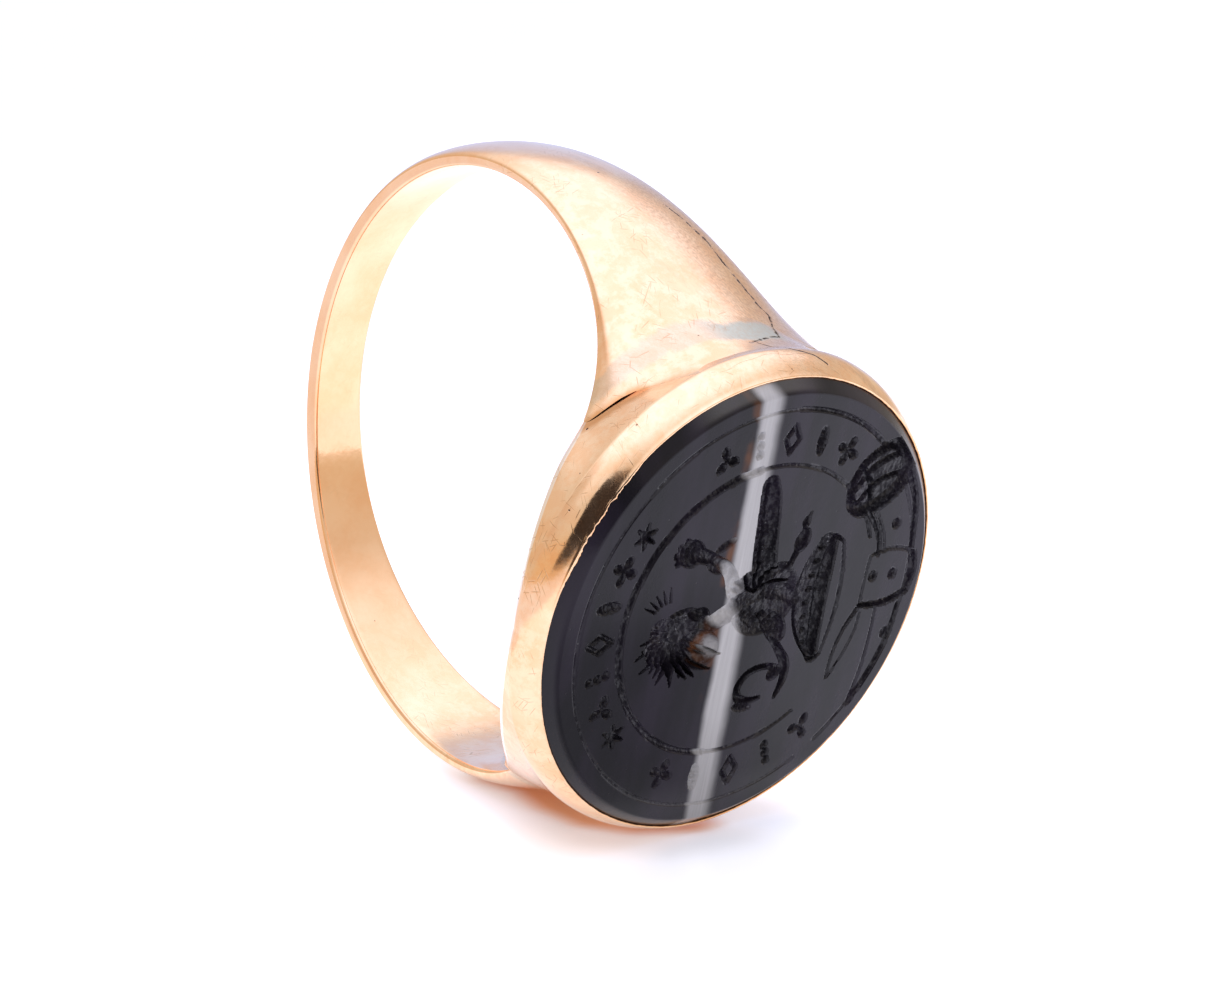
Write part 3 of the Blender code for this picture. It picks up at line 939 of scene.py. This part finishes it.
# --- materials --------------------------------------------------------------------------------------

GOLD = (0.95, 0.62, 0.38)
GOLD_DEEP = (0.90, 0.52, 0.28)
GOLD_PALE = (0.97, 0.77, 0.54)
GOLD_DARK = (0.50, 0.27, 0.13)
GOLD_BROWN = (0.52, 0.32, 0.19)
RIM_HIGHLIGHT = (0.97, 0.92, 0.88)
LIP_REFLECTION_ORANGE = (0.80, 0.34, 0.09)
PIT_DARK = (0.06, 0.04, 0.03)
SOLDER_PALE = (0.50, 0.50, 0.41)
STARVED = (0.62, 0.28, 0.09)
AGATE_BLACK = (0.008, 0.0075, 0.010)
AGATE_VIOLET = (0.016, 0.013, 0.021)
AGATE_PALE = (0.42, 0.42, 0.43)
AMBER = (0.16, 0.055, 0.012)
PITCH_DARK = (0.020, 0.013, 0.010)
PITCH_PALE = (0.060, 0.042, 0.030)
# Direction in degrees, then length, spacing and width in millimetres, then the share that is scratched.
SCRATCH_SETS = (
    (18.0, 0.45, 0.15, 0.020, 0.16),
    (-34.0, 0.38, 0.13, 0.020, 0.16),
    (63.0, 0.35, 0.14, 0.020, 0.14),
    (-70.0, 0.50, 0.20, 0.020, 0.12),
    (-52.0, 1.60, 0.75, 0.024, 0.06),
)
# Lines in the ring's frame: a fold on the upper shoulder's far side, cracks, and the seam's near end.
FOLD = (
    (2.8, 1.4, 0.0),
    (4.2, 1.85, 0.0),
    (5.6, 1.95, 0.0),
    (6.7, 1.98, 0.0),
    (7.4, 2.05, 0.0),
    (8.7, 1.32, 0.0),
    (9.05, -0.1, 0.0),
)
CRACKS = ((9.1, 0.1, 0.0), (9.9, 0.75, 0.0), (10.15, 1.43, 0.0), (10.40, 1.75, 0.0))
STARVED_SEAM = ((8.05, -5.00, 5.20), (8.17, -4.84, 5.38), (8.52, -4.18, 6.07), (8.73, -3.77, 6.42))
# The pale band of the agate: its place along the finger, its slant up the face, and its lean with depth.
BAND_MIDDLE = -0.47
BAND_SLANT = -0.025
BAND_LEAN = 0.80
# More than any distance in the scene, in millimetres.
FAR_AWAY = 10000.0


def put(tree, kind, inputs=None, **settings):
    """A node with its settings, its values and its links."""
    made = tree.nodes.new(kind)
    for key, value in settings.items():
        setattr(made, key, value)
    for key, value in (inputs or {}).items():
        if isinstance(value, bpy.types.NodeSocket):
            tree.links.new(value, made.inputs[key])
        else:
            made.inputs[key].default_value = value
    return made


def new_material(name, colour, metallic, roughness):
    """A Principled material, its tree and its shader."""
    material = bpy.data.materials.new(name)
    material.use_nodes = True
    shader = material.node_tree.nodes["Principled BSDF"]
    shader.inputs["Base Color"].default_value = (*colour, 1.0)
    shader.inputs["Metallic"].default_value = metallic
    shader.inputs["Roughness"].default_value = roughness
    return material, material.node_tree, shader


def smooth_mask(tree, value, low, high):
    """0 below low, 1 above high, smooth between, as a node socket."""
    made = put(
        tree,
        "ShaderNodeMapRange",
        {"Value": value, "From Min": low, "From Max": high},
        interpolation_type="SMOOTHSTEP",
    )
    return made.outputs["Result"]


def calc(tree, operation, *values):
    """Result of a Math node."""
    return put(tree, "ShaderNodeMath", dict(enumerate(values)), operation=operation).outputs["Value"]


def times(tree, first, *others):
    """Product of values."""
    for value in others:
        first = calc(tree, "MULTIPLY", first, value)
    return first


def inverse(tree, value):
    """1 minus a value."""
    return calc(tree, "SUBTRACT", 1.0, value)


def vector_calc(tree, operation, result, *values, scale=None):
    """Result of a Vector Math node, which is its Vector or its Value."""
    inputs = dict(enumerate(values))
    if scale is not None:
        inputs["Scale"] = scale
    return put(tree, "ShaderNodeVectorMath", inputs, operation=operation).outputs[result]


def split(tree, vector):
    """The three parts of a vector."""
    made = put(tree, "ShaderNodeSeparateXYZ", {"Vector": vector})
    return made.outputs["X"], made.outputs["Y"], made.outputs["Z"]


def mix_colour(tree, share, first, second, blend="MIX"):
    """Mix of two colours by a share."""
    made = put(tree, "ShaderNodeMix", data_type="RGBA", blend_type=blend)
    # Inputs 6 and 7 and output 2 are the ones that a mix of colours uses.
    sockets = (made.inputs["Factor"], made.inputs[6], made.inputs[7])
    for socket, value in zip(sockets, (share, first, second)):
        if isinstance(value, bpy.types.NodeSocket):
            tree.links.new(value, socket)
        elif isinstance(value, float):
            socket.default_value = value
        else:
            socket.default_value = (*value, 1.0)
    return made.outputs[2]


def painted(tree, colour, *coats):
    """A colour with coats of (share, colour) laid over it in turn."""
    for share, coat in coats:
        colour = mix_colour(tree, share, colour, coat)
    return colour


def window(tree, value, low, high, soft):
    """1 between two values and 0 outside, with soft edges."""
    opened = smooth_mask(tree, value, low - soft, low + soft)
    closed = smooth_mask(tree, value, high - soft, high + soft)
    return times(tree, opened, inverse(tree, closed))


def noise(tree, vector, scale, detail=2.0, roughness=0.5):
    """Noise from 0 to 1 at places given in millimetres."""
    inputs = {"Vector": vector, "Scale": scale, "Detail": detail, "Roughness": roughness}
    return put(tree, "ShaderNodeTexNoise", inputs).outputs["Fac"]


def attribute(tree, name, kind="Fac"):
    """A value or a vector stored on the mesh."""
    return put(tree, "ShaderNodeAttribute", attribute_name=name).outputs[kind]


def moved(tree, vector, turn=0.0, stretch=(1.0, 1.0, 1.0), shift=(0.0, 0.0, 0.0)):
    """A vector turned in its plane, in degrees, then shifted and stretched."""
    turned = put(
        tree,
        "ShaderNodeMapping",
        {"Vector": vector, "Rotation": (0.0, 0.0, math.radians(turn)), "Location": shift},
    )
    return put(
        tree, "ShaderNodeMapping", {"Vector": turned.outputs["Vector"], "Scale": stretch}
    ).outputs["Vector"]


def scratches(tree, sheet, turn, length, gap, width, share):
    """Straight scratches, all within a few degrees of one direction: 1 on a scratch and 0 elsewhere.

    The surface is ruled in rows and each row cut in lengths; a share of the lengths holds a scratch.
    """
    along, across, _ = split(tree, moved(tree, sheet, turn, shift=(0.37 * turn, 0.23 * turn, 0.0)))
    rows = calc(tree, "DIVIDE", across, gap)
    row = calc(tree, "FLOOR", rows)
    slide = put(tree, "ShaderNodeTexWhiteNoise", {"W": row}, noise_dimensions="1D").outputs["Value"]
    lengths = calc(tree, "MULTIPLY_ADD", slide, 9.0, calc(tree, "DIVIDE", along, length))
    cell = put(tree, "ShaderNodeCombineXYZ", {"X": row, "Y": calc(tree, "FLOOR", lengths)})
    chance = put(tree, "ShaderNodeTexWhiteNoise", {"Vector": cell.outputs["Vector"]}, noise_dimensions="2D")
    rolled = put(tree, "ShaderNodeSeparateColor", {"Color": chance.outputs["Color"]})
    run = calc(tree, "FRACT", lengths)
    tilt = calc(tree, "SUBTRACT", rolled.outputs["Green"], 0.5)
    slope = times(tree, tilt, calc(tree, "SUBTRACT", run, 0.5))
    middle = calc(tree, "ADD", calc(tree, "MULTIPLY_ADD", rolled.outputs["Red"], 0.5, 0.25), slope)
    away = calc(tree, "ABSOLUTE", calc(tree, "SUBTRACT", calc(tree, "FRACT", rows), middle))
    line = inverse(tree, smooth_mask(tree, away, 0.0, width / gap))
    fading = times(tree, smooth_mask(tree, run, 0.0, 0.2), inverse(tree, smooth_mask(tree, run, 0.6, 1.0)))
    return times(tree, line, fading, calc(tree, "LESS_THAN", chance.outputs["Value"], share))


def pits(tree, place, spacing, radius, share):
    """Round pits scattered through the surface: 1 in a pit and 0 elsewhere."""
    cells = put(tree, "ShaderNodeTexVoronoi", {"Vector": place, "Scale": 1.0 / spacing})
    size = radius / spacing
    inside = inverse(tree, smooth_mask(tree, cells.outputs["Distance"], 0.4 * size, size))
    chosen = put(tree, "ShaderNodeSeparateColor", {"Color": cells.outputs["Color"]}).outputs["Red"]
    return times(tree, inside, calc(tree, "LESS_THAN", chosen, share))


def near_line(tree, place, points, width, waver):
    """1 on a wavering line through points, and 0 from a distance of width."""
    shake = put(tree, "ShaderNodeTexNoise", {"Vector": place, "Scale": 2.5, "Detail": 3.0})
    centred = vector_calc(tree, "SUBTRACT", "Vector", shake.outputs["Color"], (0.5, 0.5, 0.5))
    shift = vector_calc(tree, "SCALE", "Vector", centred, scale=waver)
    here = vector_calc(tree, "ADD", "Vector", place, shift)
    least = FAR_AWAY
    for start, end in zip(points, points[1:]):
        reach = Vector(end) - Vector(start)
        run = vector_calc(tree, "SUBTRACT", "Vector", here, start)
        share = vector_calc(tree, "DOT_PRODUCT", "Value", run, reach / reach.length_squared)
        share = calc(tree, "MAXIMUM", calc(tree, "MINIMUM", share, 1.0), 0.0)
        foot = vector_calc(tree, "SCALE", "Vector", reach, scale=share)
        gap = vector_calc(tree, "DISTANCE", "Value", run, foot)
        least = calc(tree, "MINIMUM", gap, least)
    return inverse(tree, smooth_mask(tree, least, 0.25 * width, width))


def total(tree, *parts):
    """Sum of (weight, value) pairs."""
    result = 0.0
    for weight, value in parts:
        result = calc(tree, "MULTIPLY_ADD", value, weight, result)
    return result


def raised(tree, shader, height):
    """Bump from a height in millimetres."""
    bump = put(tree, "ShaderNodeBump", {"Height": height, "Distance": MM, "Strength": 1.0})
    tree.links.new(bump.outputs["Normal"], shader.inputs["Normal"])


def worn_gold(name):
    """Polished rose gold: cloudy, scratched and pitted, brown on its far side, pale along the seam, with
    painted shade round the fold, a painted highlight on the bezel's rim and a painted orange reflection on
    its lip.
    """
    material, tree, shader = new_material(name, GOLD, 1.0, 0.1)
    place = attribute(tree, "place", "Vector")
    sheet = attribute(tree, "sheet", "Vector")
    seam = attribute(tree, "seam")
    rim = attribute(tree, "rim")
    lip_reflection = attribute(tree, "lip_reflection")
    forward, across, up = split(tree, place)
    clouds = smooth_mask(tree, noise(tree, place, 0.42, 4.0, 0.6), 0.34, 0.62)
    mottle = smooth_mask(tree, noise(tree, place, 1.7, 5.0, 0.65), 0.40, 0.62)
    grain = noise(tree, place, 5.0, 4.0, 0.65)
    spots = pits(tree, place, 0.90, 0.062, 0.22)
    small_spots = pits(tree, place, 0.50, 0.045, 0.10)
    lines = scratches(tree, sheet, *SCRATCH_SETS[0])
    for settings in SCRATCH_SETS[1:]:
        lines = calc(tree, "MAXIMUM", lines, scratches(tree, sheet, *settings))
    # The palm side is smoother than the shoulders and the bezel.
    front = smooth_mask(tree, forward, -5.0, 2.0)
    reach = vector_calc(tree, "LENGTH", "Value", moved(tree, place, stretch=(1.0, 0.0, 1.0)))
    outer = smooth_mask(tree, reach, FINGER_RADIUS + 0.05, FINGER_RADIUS + 0.25)
    gathered = smooth_mask(tree, noise(tree, place, 0.75, 2.0), 0.46, 0.60)
    lines = times(tree, lines, gathered, total(tree, (0.80, front), (0.20, 1.0)))
    mottle = times(tree, mottle, total(tree, (0.70, front), (0.30, 1.0)))
    # Brown wear on the far side of the shoulders, in streaks along the hoop.
    drawn_out = moved(tree, sheet, 12.0, (0.45, 2.2, 1.0))
    streaks = smooth_mask(tree, noise(tree, drawn_out, 1.0, 4.0, 0.62), 0.42, 0.66)
    fine = moved(tree, sheet, 20.0, (7.0, 15.0, 1.0))
    sand = smooth_mask(tree, noise(tree, fine, 1.0, 2.0, 0.7), 0.40, 0.62)
    far = times(tree, smooth_mask(tree, across, -1.4, 1.0), front, outer)
    # Pale solder that ran out along the seam of the shoulder, farther out on the near side.
    drift = times(tree, inverse(tree, smooth_mask(tree, across, -1.6, 0.4)), -0.42)
    unevenness = calc(tree, "SUBTRACT", noise(tree, place, 1.1, 4.0, 0.6), 0.5)
    ragged = total(tree, (0.7, unevenness), (1.0, seam), (1.0, drift))
    full = total(tree, (0.62, smooth_mask(tree, across, -1.4, -0.2)), (0.38, 1.0))
    ending = inverse(tree, smooth_mask(tree, across, 1.2, 1.9))
    run = times(tree, window(tree, ragged, 0.05, 0.78, 0.10), full, ending)
    # A fold along the far side, cracks where the shoulder meets the lip, and starved solder at the corner.
    upper = times(tree, smooth_mask(tree, up, 2.0, 3.0), outer)
    plan = moved(tree, place, stretch=(1.0, 1.0, 0.0))
    broken = smooth_mask(tree, noise(tree, place, 7.0, 3.0, 0.6), 0.40, 0.50)
    fold = times(tree, near_line(tree, plan, FOLD, 0.075, 0.26), broken)
    cracks = times(tree, calc(tree, "MAXIMUM", fold, near_line(tree, plan, CRACKS, 0.045, 0.10)), upper)
    # Painted shade: the brown deepens in a broad zone round the fold, on top of the streaked wear.
    fold_shade = times(tree, near_line(tree, plan, FOLD, 2.7, 0.8), upper)
    rubbed_and_fold_shade = calc(tree, "MAXIMUM", times(tree, streaks, 0.75), fold_shade)
    wear_and_fold_shade = times(tree, rubbed_and_fold_shade, far, total(tree, (0.6, sand), (0.5, 1.0)))
    starved = times(tree, near_line(tree, place, STARVED_SEAM, 0.42, 0.20), 0.85)
    dark = calc(tree, "MAXIMUM", cracks, calc(tree, "MAXIMUM", spots, small_spots))
    colour = painted(
        tree,
        GOLD,
        (times(tree, clouds, 0.85), GOLD_DEEP),
        (times(tree, mottle, 0.45), GOLD_PALE),
        (times(tree, wear_and_fold_shade, 0.72), GOLD_BROWN),
        (run, SOLDER_PALE),
        (times(tree, run, sand, 0.25), GOLD_DARK),
        (starved, STARVED),
        # Painted highlight along the bezel's finger-side rim.
        (times(tree, rim, 0.85), RIM_HIGHLIGHT),
        # Painted orange reflection on the lip's edge.
        (times(tree, lip_reflection, 0.70), LIP_REFLECTION_ORANGE),
        (times(tree, lines, 0.60), GOLD_DARK),
        (dark, PIT_DARK),
    )
    tree.links.new(colour, shader.inputs["Base Color"])
    rough = total(
        tree, (0.06, clouds), (0.09, grain), (0.10, lines), (0.20, run), (0.4, dark), (0.10, wear_and_fold_shade)
    )
    tree.links.new(calc(tree, "ADD", rough, 0.045), shader.inputs["Roughness"])
    height = total(
        tree,
        (0.010, noise(tree, place, 0.55, 1.0)),
        (0.0030, noise(tree, place, 2.4, 2.0)),
        (0.0005, grain),
        (-0.0014, lines),
        (-0.016, spots),
        (-0.008, small_spots),
        (-0.010, cracks),
        (0.005, times(tree, run, noise(tree, place, 6.0, 3.0))),
    )
    raised(tree, shader, height)
    return material


def agate_material():
    """Near-black agate with one pale slanted band and a faint amber edge, glinting in its cuts, with light
    and shade painted into how strongly it reflects.
    """
    material, tree, shader = new_material("engraved_agate", AGATE_BLACK, 0.0, 0.2)
    place = attribute(tree, "place", "Vector")
    cut = attribute(tree, "cut")
    height_on_seal, along, up = split(tree, place)
    # Distance across the pale layer: the layer leans, so it shifts with height, and wavers a little.
    under_table = calc(tree, "SUBTRACT", height_on_seal, STONE_TOP)
    middle = total(tree, (BAND_SLANT, up), (BAND_LEAN, under_table))
    waver = total(tree, (0.16, calc(tree, "SUBTRACT", noise(tree, place, 0.8, 3.0, 0.55), 0.5)))
    offset = calc(tree, "SUBTRACT", along, BAND_MIDDLE)
    offset = calc(tree, "SUBTRACT", offset, calc(tree, "ADD", middle, waver))
    threads = noise(tree, moved(tree, place, stretch=(0.3, 9.0, 0.35)), 1.0, 3.0, 0.6)
    narrowed = total(tree, (0.14, smooth_mask(tree, up, 1.0, 6.5)), (1.0, offset))
    band = times(
        tree,
        smooth_mask(tree, offset, -0.66, -0.34),
        inverse(tree, smooth_mask(tree, narrowed, 0.08, 0.62)),
        total(tree, (0.45, threads), (0.70, 1.0)),
        total(tree, (0.3, smooth_mask(tree, up, -7.5, -2.0)), (0.7, 1.0)),
    )
    amber = times(
        tree,
        window(tree, offset, -0.86, -0.56, 0.12),
        smooth_mask(tree, noise(tree, place, 0.7, 2.0), 0.42, 0.62),
        smooth_mask(tree, up, -3.2, -1.8),
        0.8,
    )
    haze = noise(tree, moved(tree, place, stretch=(0.2, 0.8, 0.15)), 1.0, 2.0)
    colour = painted(
        tree,
        AGATE_BLACK,
        (smooth_mask(tree, haze, 0.40, 0.70), AGATE_VIOLET),
        (amber, AMBER),
        (calc(tree, "MINIMUM", band, 1.0), AGATE_PALE),
    )
    tree.links.new(colour, shader.inputs["Base Color"])
    worked = smooth_mask(tree, cut, 0.01, 0.10)
    mottle = noise(tree, place, 7.0, 2.0, 0.5)
    sparks = times(tree, worked, pits(tree, place, 0.15, 0.035, 0.14))
    rough = total(tree, (0.10, worked), (0.06, mottle), (-0.10, sparks), (0.16, 1.0))
    tree.links.new(rough, shader.inputs["Roughness"])
    # Painted light and shade in the reflection: it is weaker on the left, and stronger at the top and the
    # bottom of the bevel.
    left = inverse(tree, smooth_mask(tree, along, -3.0, 3.0))
    bevel = inverse(tree, smooth_mask(tree, height_on_seal, 10.88, 11.0))
    shaded = times(tree, bevel, left, smooth_mask(tree, up, -1.0, 3.0))
    lit_top = times(tree, bevel, smooth_mask(tree, up, 5.6, 6.6), window(tree, along, -3.2, 0.8, 0.8))
    lit_bottom = inverse(tree, smooth_mask(tree, up, -6.3, -5.3))
    shaded_table_left = times(tree, left, inverse(tree, bevel))
    shaded_left_middle = times(tree, shaded_table_left, window(tree, up, -5.6, 0.5, 1.4))
    facets = noise(tree, moved(tree, place, stretch=(6.0, 9.0, 4.0)), 1.0, 3.0, 0.6)
    carved = times(tree, worked, smooth_mask(tree, facets, 0.42, 0.62))
    cut_rim_highlight = window(tree, cut, 0.014, 0.055, 0.012)
    # Painted shade and highlight: the cuts reflect less, standing in for the shade inside them, and the rims
    # of the cuts reflect more, as painted highlights.
    sheen = total(
        tree,
        (-0.30, worked),
        (0.50, carved),
        (1.6, sparks),
        (0.14, cut_rim_highlight),
        (-0.16, shaded),
        (1.3, lit_top),
        (0.22, lit_bottom),
        (0.30, times(tree, bevel, lit_bottom)),
        (-0.12, shaded_table_left),
        (-0.17, shaded_left_middle),
        (0.42, 1.0),
    )
    tree.links.new(calc(tree, "MAXIMUM", sheen, 0.06), shader.inputs["Specular IOR Level"])
    shader.inputs["IOR"].default_value = 1.37
    height = total(
        tree,
        (0.0022, mottle),
        (0.0022, noise(tree, place, 15.0, 3.0, 0.7)),
        (0.050, times(tree, worked, noise(tree, place, 6.0, 3.0, 0.6))),
        (-0.006, pits(tree, place, 0.42, 0.03, 0.25)),
    )
    raised(tree, shader, height)
    return material


def pitch_material():
    """Dark setting pitch: brown-black, lumpy and dull."""
    material, tree, shader = new_material("setting_pitch", PITCH_DARK, 0.0, 0.55)
    coordinates = put(tree, "ShaderNodeTexCoord").outputs["Object"]
    lumps = noise(tree, coordinates, 900.0, 4.0, 0.6)
    tree.links.new(mix_colour(tree, lumps, PITCH_DARK, PITCH_PALE), shader.inputs["Base Color"])
    tree.links.new(total(tree, (0.4, lumps), (0.35, 1.0)), shader.inputs["Roughness"])
    raised(tree, shader, total(tree, (0.05, lumps)))
    return material


def plain_gold():
    """Filed gold for the CAD's stone bearer, which is hidden under the stone and stores no attributes."""
    material, tree, shader = new_material("filed_gold", GOLD, 1.0, 0.3)
    coordinates = put(tree, "ShaderNodeTexCoord").outputs["Object"]
    marks = noise(tree, moved(tree, coordinates, stretch=(400.0, 400.0, 9000.0)), 1.0, 2.0)
    tree.links.new(mix_colour(tree, marks, GOLD, GOLD_DEEP), shader.inputs["Base Color"])
    tree.links.new(total(tree, (0.3, marks), (0.2, 1.0)), shader.inputs["Roughness"])
    raised(tree, shader, total(tree, (0.006, marks)))
    return material


def dress(piece, material):
    """Give a piece one material."""
    piece.data.materials.clear()
    piece.data.materials.append(material)


# --- studio -----------------------------------------------------------------------------------------

CAMERA_PLACE = Vector((74.877, -68.261, 41.085))
CAMERA_AIM = Vector((-0.665345, 0.643074, -0.379174))
CAMERA_UP = Vector((-0.39955, 0.1223, 0.90851))
LENS = 103.8

# The floor: a white that glows a little, with the gold's warm reflection and the ring's shadow painted as a
# warm and a dark line round its foot.
FLOOR_HALF = 2.0
FLOOR_GLOW = 0.64
FLOOR_WHITE = (0.64, 0.64, 0.67)
FLOOR_WARM_REFLECTION = (0.78, 0.50, 0.34)
GLOW_WHITE = (0.92, 0.93, 0.99)
GLOW_WARM_REFLECTION = (0.42, 0.20, 0.11)
FLOOR_BOUNCE = (
    (-0.8, -0.6, 0.0),
    (0.8, -0.6, 0.0),
    (2.6, -1.2, 0.0),
    (4.4, -1.4, 0.0),
    (5.6, -0.9, 0.0),
    (6.4, 0.3, 0.0),
)
FLOOR_SHADE = (
    (-0.4, -1.2, 0.0),
    (1.4, -1.5, 0.0),
    (3.8, -1.9, 0.0),
    (5.6, -2.0, 0.0),
    (6.8, -1.2, 0.0),
    (7.1, 0.4, 0.0),
    (6.6, 2.2, 0.0),
)
CARD_MIDDLE = Vector((15.5, -24.0, 14.0))
CARD_AIM = Vector((9.5, -6.5, 3.0))
CARD_OUTLINE = (
    (-4.5, -11.0),
    (-0.8, -7.0),
    (0.0, -2.0),
    (0.5, 2.5),
    (2.5, 6.0),
    (6.0, 7.0),
    (60.0, 7.0),
    (60.0, -8.0),
    (8.0, -8.0),
    (4.0, -9.5),
)


def make_camera():
    """Camera looking down at the seal from its near side, placed from the ring."""
    data = bpy.data.cameras.new("camera")
    data.lens = LENS
    data.sensor_width = 36.0
    data.clip_start = 0.001
    camera = bpy.data.objects.new("camera", data)
    bpy.context.scene.collection.objects.link(camera)
    aim = CAMERA_AIM.normalized()
    right = aim.cross(CAMERA_UP).normalized()
    up = right.cross(aim)
    basis = Matrix((right, up, -aim)).transposed().to_4x4()
    camera.matrix_world = RING @ Matrix.Translation(CAMERA_PLACE * MM) @ basis
    bpy.context.scene.camera = camera


def make_floor():
    """A pale floor that glows as if lit from below, with a painted warm reflection of the gold and a painted
    shadow round the ring.
    """
    mesh = bpy.data.meshes.new("floor")
    corners = [(FLOOR_HALF * x, FLOOR_HALF * y, 0.0) for x, y in ((-1, -1), (1, -1), (1, 1), (-1, 1))]
    mesh.from_pydata(corners, [], [(0, 1, 2, 3)])
    floor = bpy.data.objects.new("floor", mesh)
    bpy.context.scene.collection.objects.link(floor)
    material, tree, shader = new_material("white_floor", FLOOR_WHITE, 0.0, 0.30)
    coordinates = put(tree, "ShaderNodeTexCoord").outputs["Object"]
    place = moved(tree, coordinates, stretch=(1.0 / MM, 1.0 / MM, 1.0 / MM))
    x, y, _ = split(tree, place)
    # Painted reflection: the floor's colour and glow turn warm near the foot of the ring.
    near = near_line(tree, place, FLOOR_BOUNCE, 1.6, 0.0)
    # Painted shadow: the glow is weaker along a wider line round the ring's foot.
    shade = near_line(tree, place, FLOOR_SHADE, 3.4, 0.0)
    tree.links.new(mix_colour(tree, near, FLOOR_WHITE, FLOOR_WARM_REFLECTION), shader.inputs["Base Color"])
    # Painted light and shadow: the glow is full in front and in one band behind the ring, and weaker in the
    # painted shadow line.
    in_front = smooth_mask(tree, calc(tree, "ADD", x, y), -46.0, -30.0)
    behind = window(tree, y, 5.0, 26.0, 4.0)
    level = total(tree, (0.60, in_front), (0.30, behind), (0.42, 1.0))
    level = times(tree, level, total(tree, (-0.38, shade), (1.0, 1.0)), FLOOR_GLOW)
    tree.links.new(mix_colour(tree, near, GLOW_WHITE, GLOW_WARM_REFLECTION), shader.inputs["Emission Color"])
    tree.links.new(level, shader.inputs["Emission Strength"])
    mesh.materials.append(material)


def make_card():
    """A small dark card close to the bezel's near side, seen only in its reflection."""
    middle = CARD_MIDDLE * MM
    facing = (CARD_AIM * MM - middle).normalized()
    sideways = facing.cross(Vector((0.0, 0.0, 1.0))).normalized()
    upward = sideways.cross(facing)
    corners = [RING @ (middle + (sideways * x + upward * y) * MM) for x, y in CARD_OUTLINE]
    mesh = bpy.data.meshes.new("dark_card")
    mesh.from_pydata([tuple(corner) for corner in corners], [], [tuple(range(len(corners)))])
    card = bpy.data.objects.new("dark_card", mesh)
    bpy.context.scene.collection.objects.link(card)
    card.visible_camera = False
    card.visible_diffuse = False
    card.visible_shadow = False
    material, _, shader = new_material("card", (0.012, 0.009, 0.008), 0.0, 1.0)
    shader.inputs["Emission Color"].default_value = (0.014, 0.010, 0.008, 1.0)
    shader.inputs["Emission Strength"].default_value = 1.0
    mesh.materials.append(material)


# Brightness and tint of the studio by height above the horizon, in degrees.
STUDIO_BANDS = (
    (-90.0, (1.30, 1.32, 1.50)),
    (-6.0, (1.15, 1.10, 1.10)),
    (4.0, (0.80, 0.68, 0.55)),
    (28.0, (0.82, 0.74, 0.68)),
    (44.0, (1.15, 1.15, 1.25)),
    (58.0, (1.55, 1.56, 1.95)),
    (90.0, (1.64, 1.64, 2.05)),
)
BRIGHTEST = 2.5
PATCH_SOFT_TURN = 12.0
PATCH_SOFT_RISE = 8.0
# Patches of the studio: turn and rise in degrees, then brightness.
STUDIO_PATCHES = (
    ((118.0, 165.0), (-5.0, 31.0), (0.72, 0.82, 1.18)),
    ((-112.0, -48.0), (-14.0, 13.0), (0.85, 0.63, 0.42)),
    ((-142.0, -98.0), (16.0, 47.0), (0.76, 0.64, 0.56)),
    ((85.0, 148.0), (38.0, 58.0), (1.50, 1.55, 1.90)),
)


def make_light():
    """A white tent: bright and cool overhead, warmer and dimmer near the horizon, with four patches."""
    world = bpy.data.worlds.new("studio")
    world.use_nodes = True
    tree = world.node_tree
    background = tree.nodes["Background"]
    direction = put(tree, "ShaderNodeTexCoord").outputs["Generated"]
    x, y, z = split(tree, direction)
    rise = calc(tree, "DEGREES", calc(tree, "ARCSINE", z))
    turn = calc(tree, "DEGREES", calc(tree, "ARCTAN2", y, x))
    share = put(tree, "ShaderNodeMapRange", {"Value": rise, "From Min": -90.0, "From Max": 90.0})
    ramp = put(tree, "ShaderNodeValToRGB", {"Fac": share.outputs["Result"]})
    stops = ramp.color_ramp.elements
    while len(stops) < len(STUDIO_BANDS):
        stops.new(0.5)
    for stop, (height, colour) in zip(stops, STUDIO_BANDS):
        stop.position = (height + 90.0) / 180.0
        stop.color = (*[channel / BRIGHTEST for channel in colour], 1.0)
    bands = mix_colour(tree, 1.0, ramp.outputs["Color"], (BRIGHTEST, BRIGHTEST, BRIGHTEST), "MULTIPLY")
    for turns, rises, colour in STUDIO_PATCHES:
        across = window(tree, turn, *turns, PATCH_SOFT_TURN)
        share = times(tree, across, window(tree, rise, *rises, PATCH_SOFT_RISE))
        bands = mix_colour(tree, share, bands, colour)
    sight = put(tree, "ShaderNodeLightPath").outputs["Is Camera Ray"]
    seen = mix_colour(tree, sight, bands, (1.0, 1.0, 1.0))
    tree.links.new(seen, background.inputs["Color"])
    bpy.context.scene.world = world
    bpy.context.scene.view_settings.view_transform = "Standard"


# --- put together -----------------------------------------------------------------------------------

gold = worn_gold("worn_rose_gold")
agate = agate_material()

gold_pieces = [
    hoop_piece("palm_band", -BAND_END, BAND_END, 400, ["shank_band"]),
    shoulder("shoulder_top", "shoulder_upper", 1.0),
    shoulder("shoulder_bottom", "shoulder_lower", -1.0),
    band_joint("top_joint", "band_solder_upper", 1.0),
    band_joint("bottom_joint", "band_solder_lower", -1.0),
    bezel_collar(),
    back_plate(),
    solder_fillet("top_fillet", "bezel_solder_upper", 1.0),
    solder_fillet("bottom_fillet", "bezel_solder_lower", -1.0),
]
for piece in gold_pieces:
    dress(piece, gold)
dress(seal_stone(), agate)
dress(frame["nodes"]["setting_pitch"], pitch_material())
dress(frame["nodes"]["stone_bearer"], plain_gold())
make_camera()
make_floor()
make_card()
make_light()
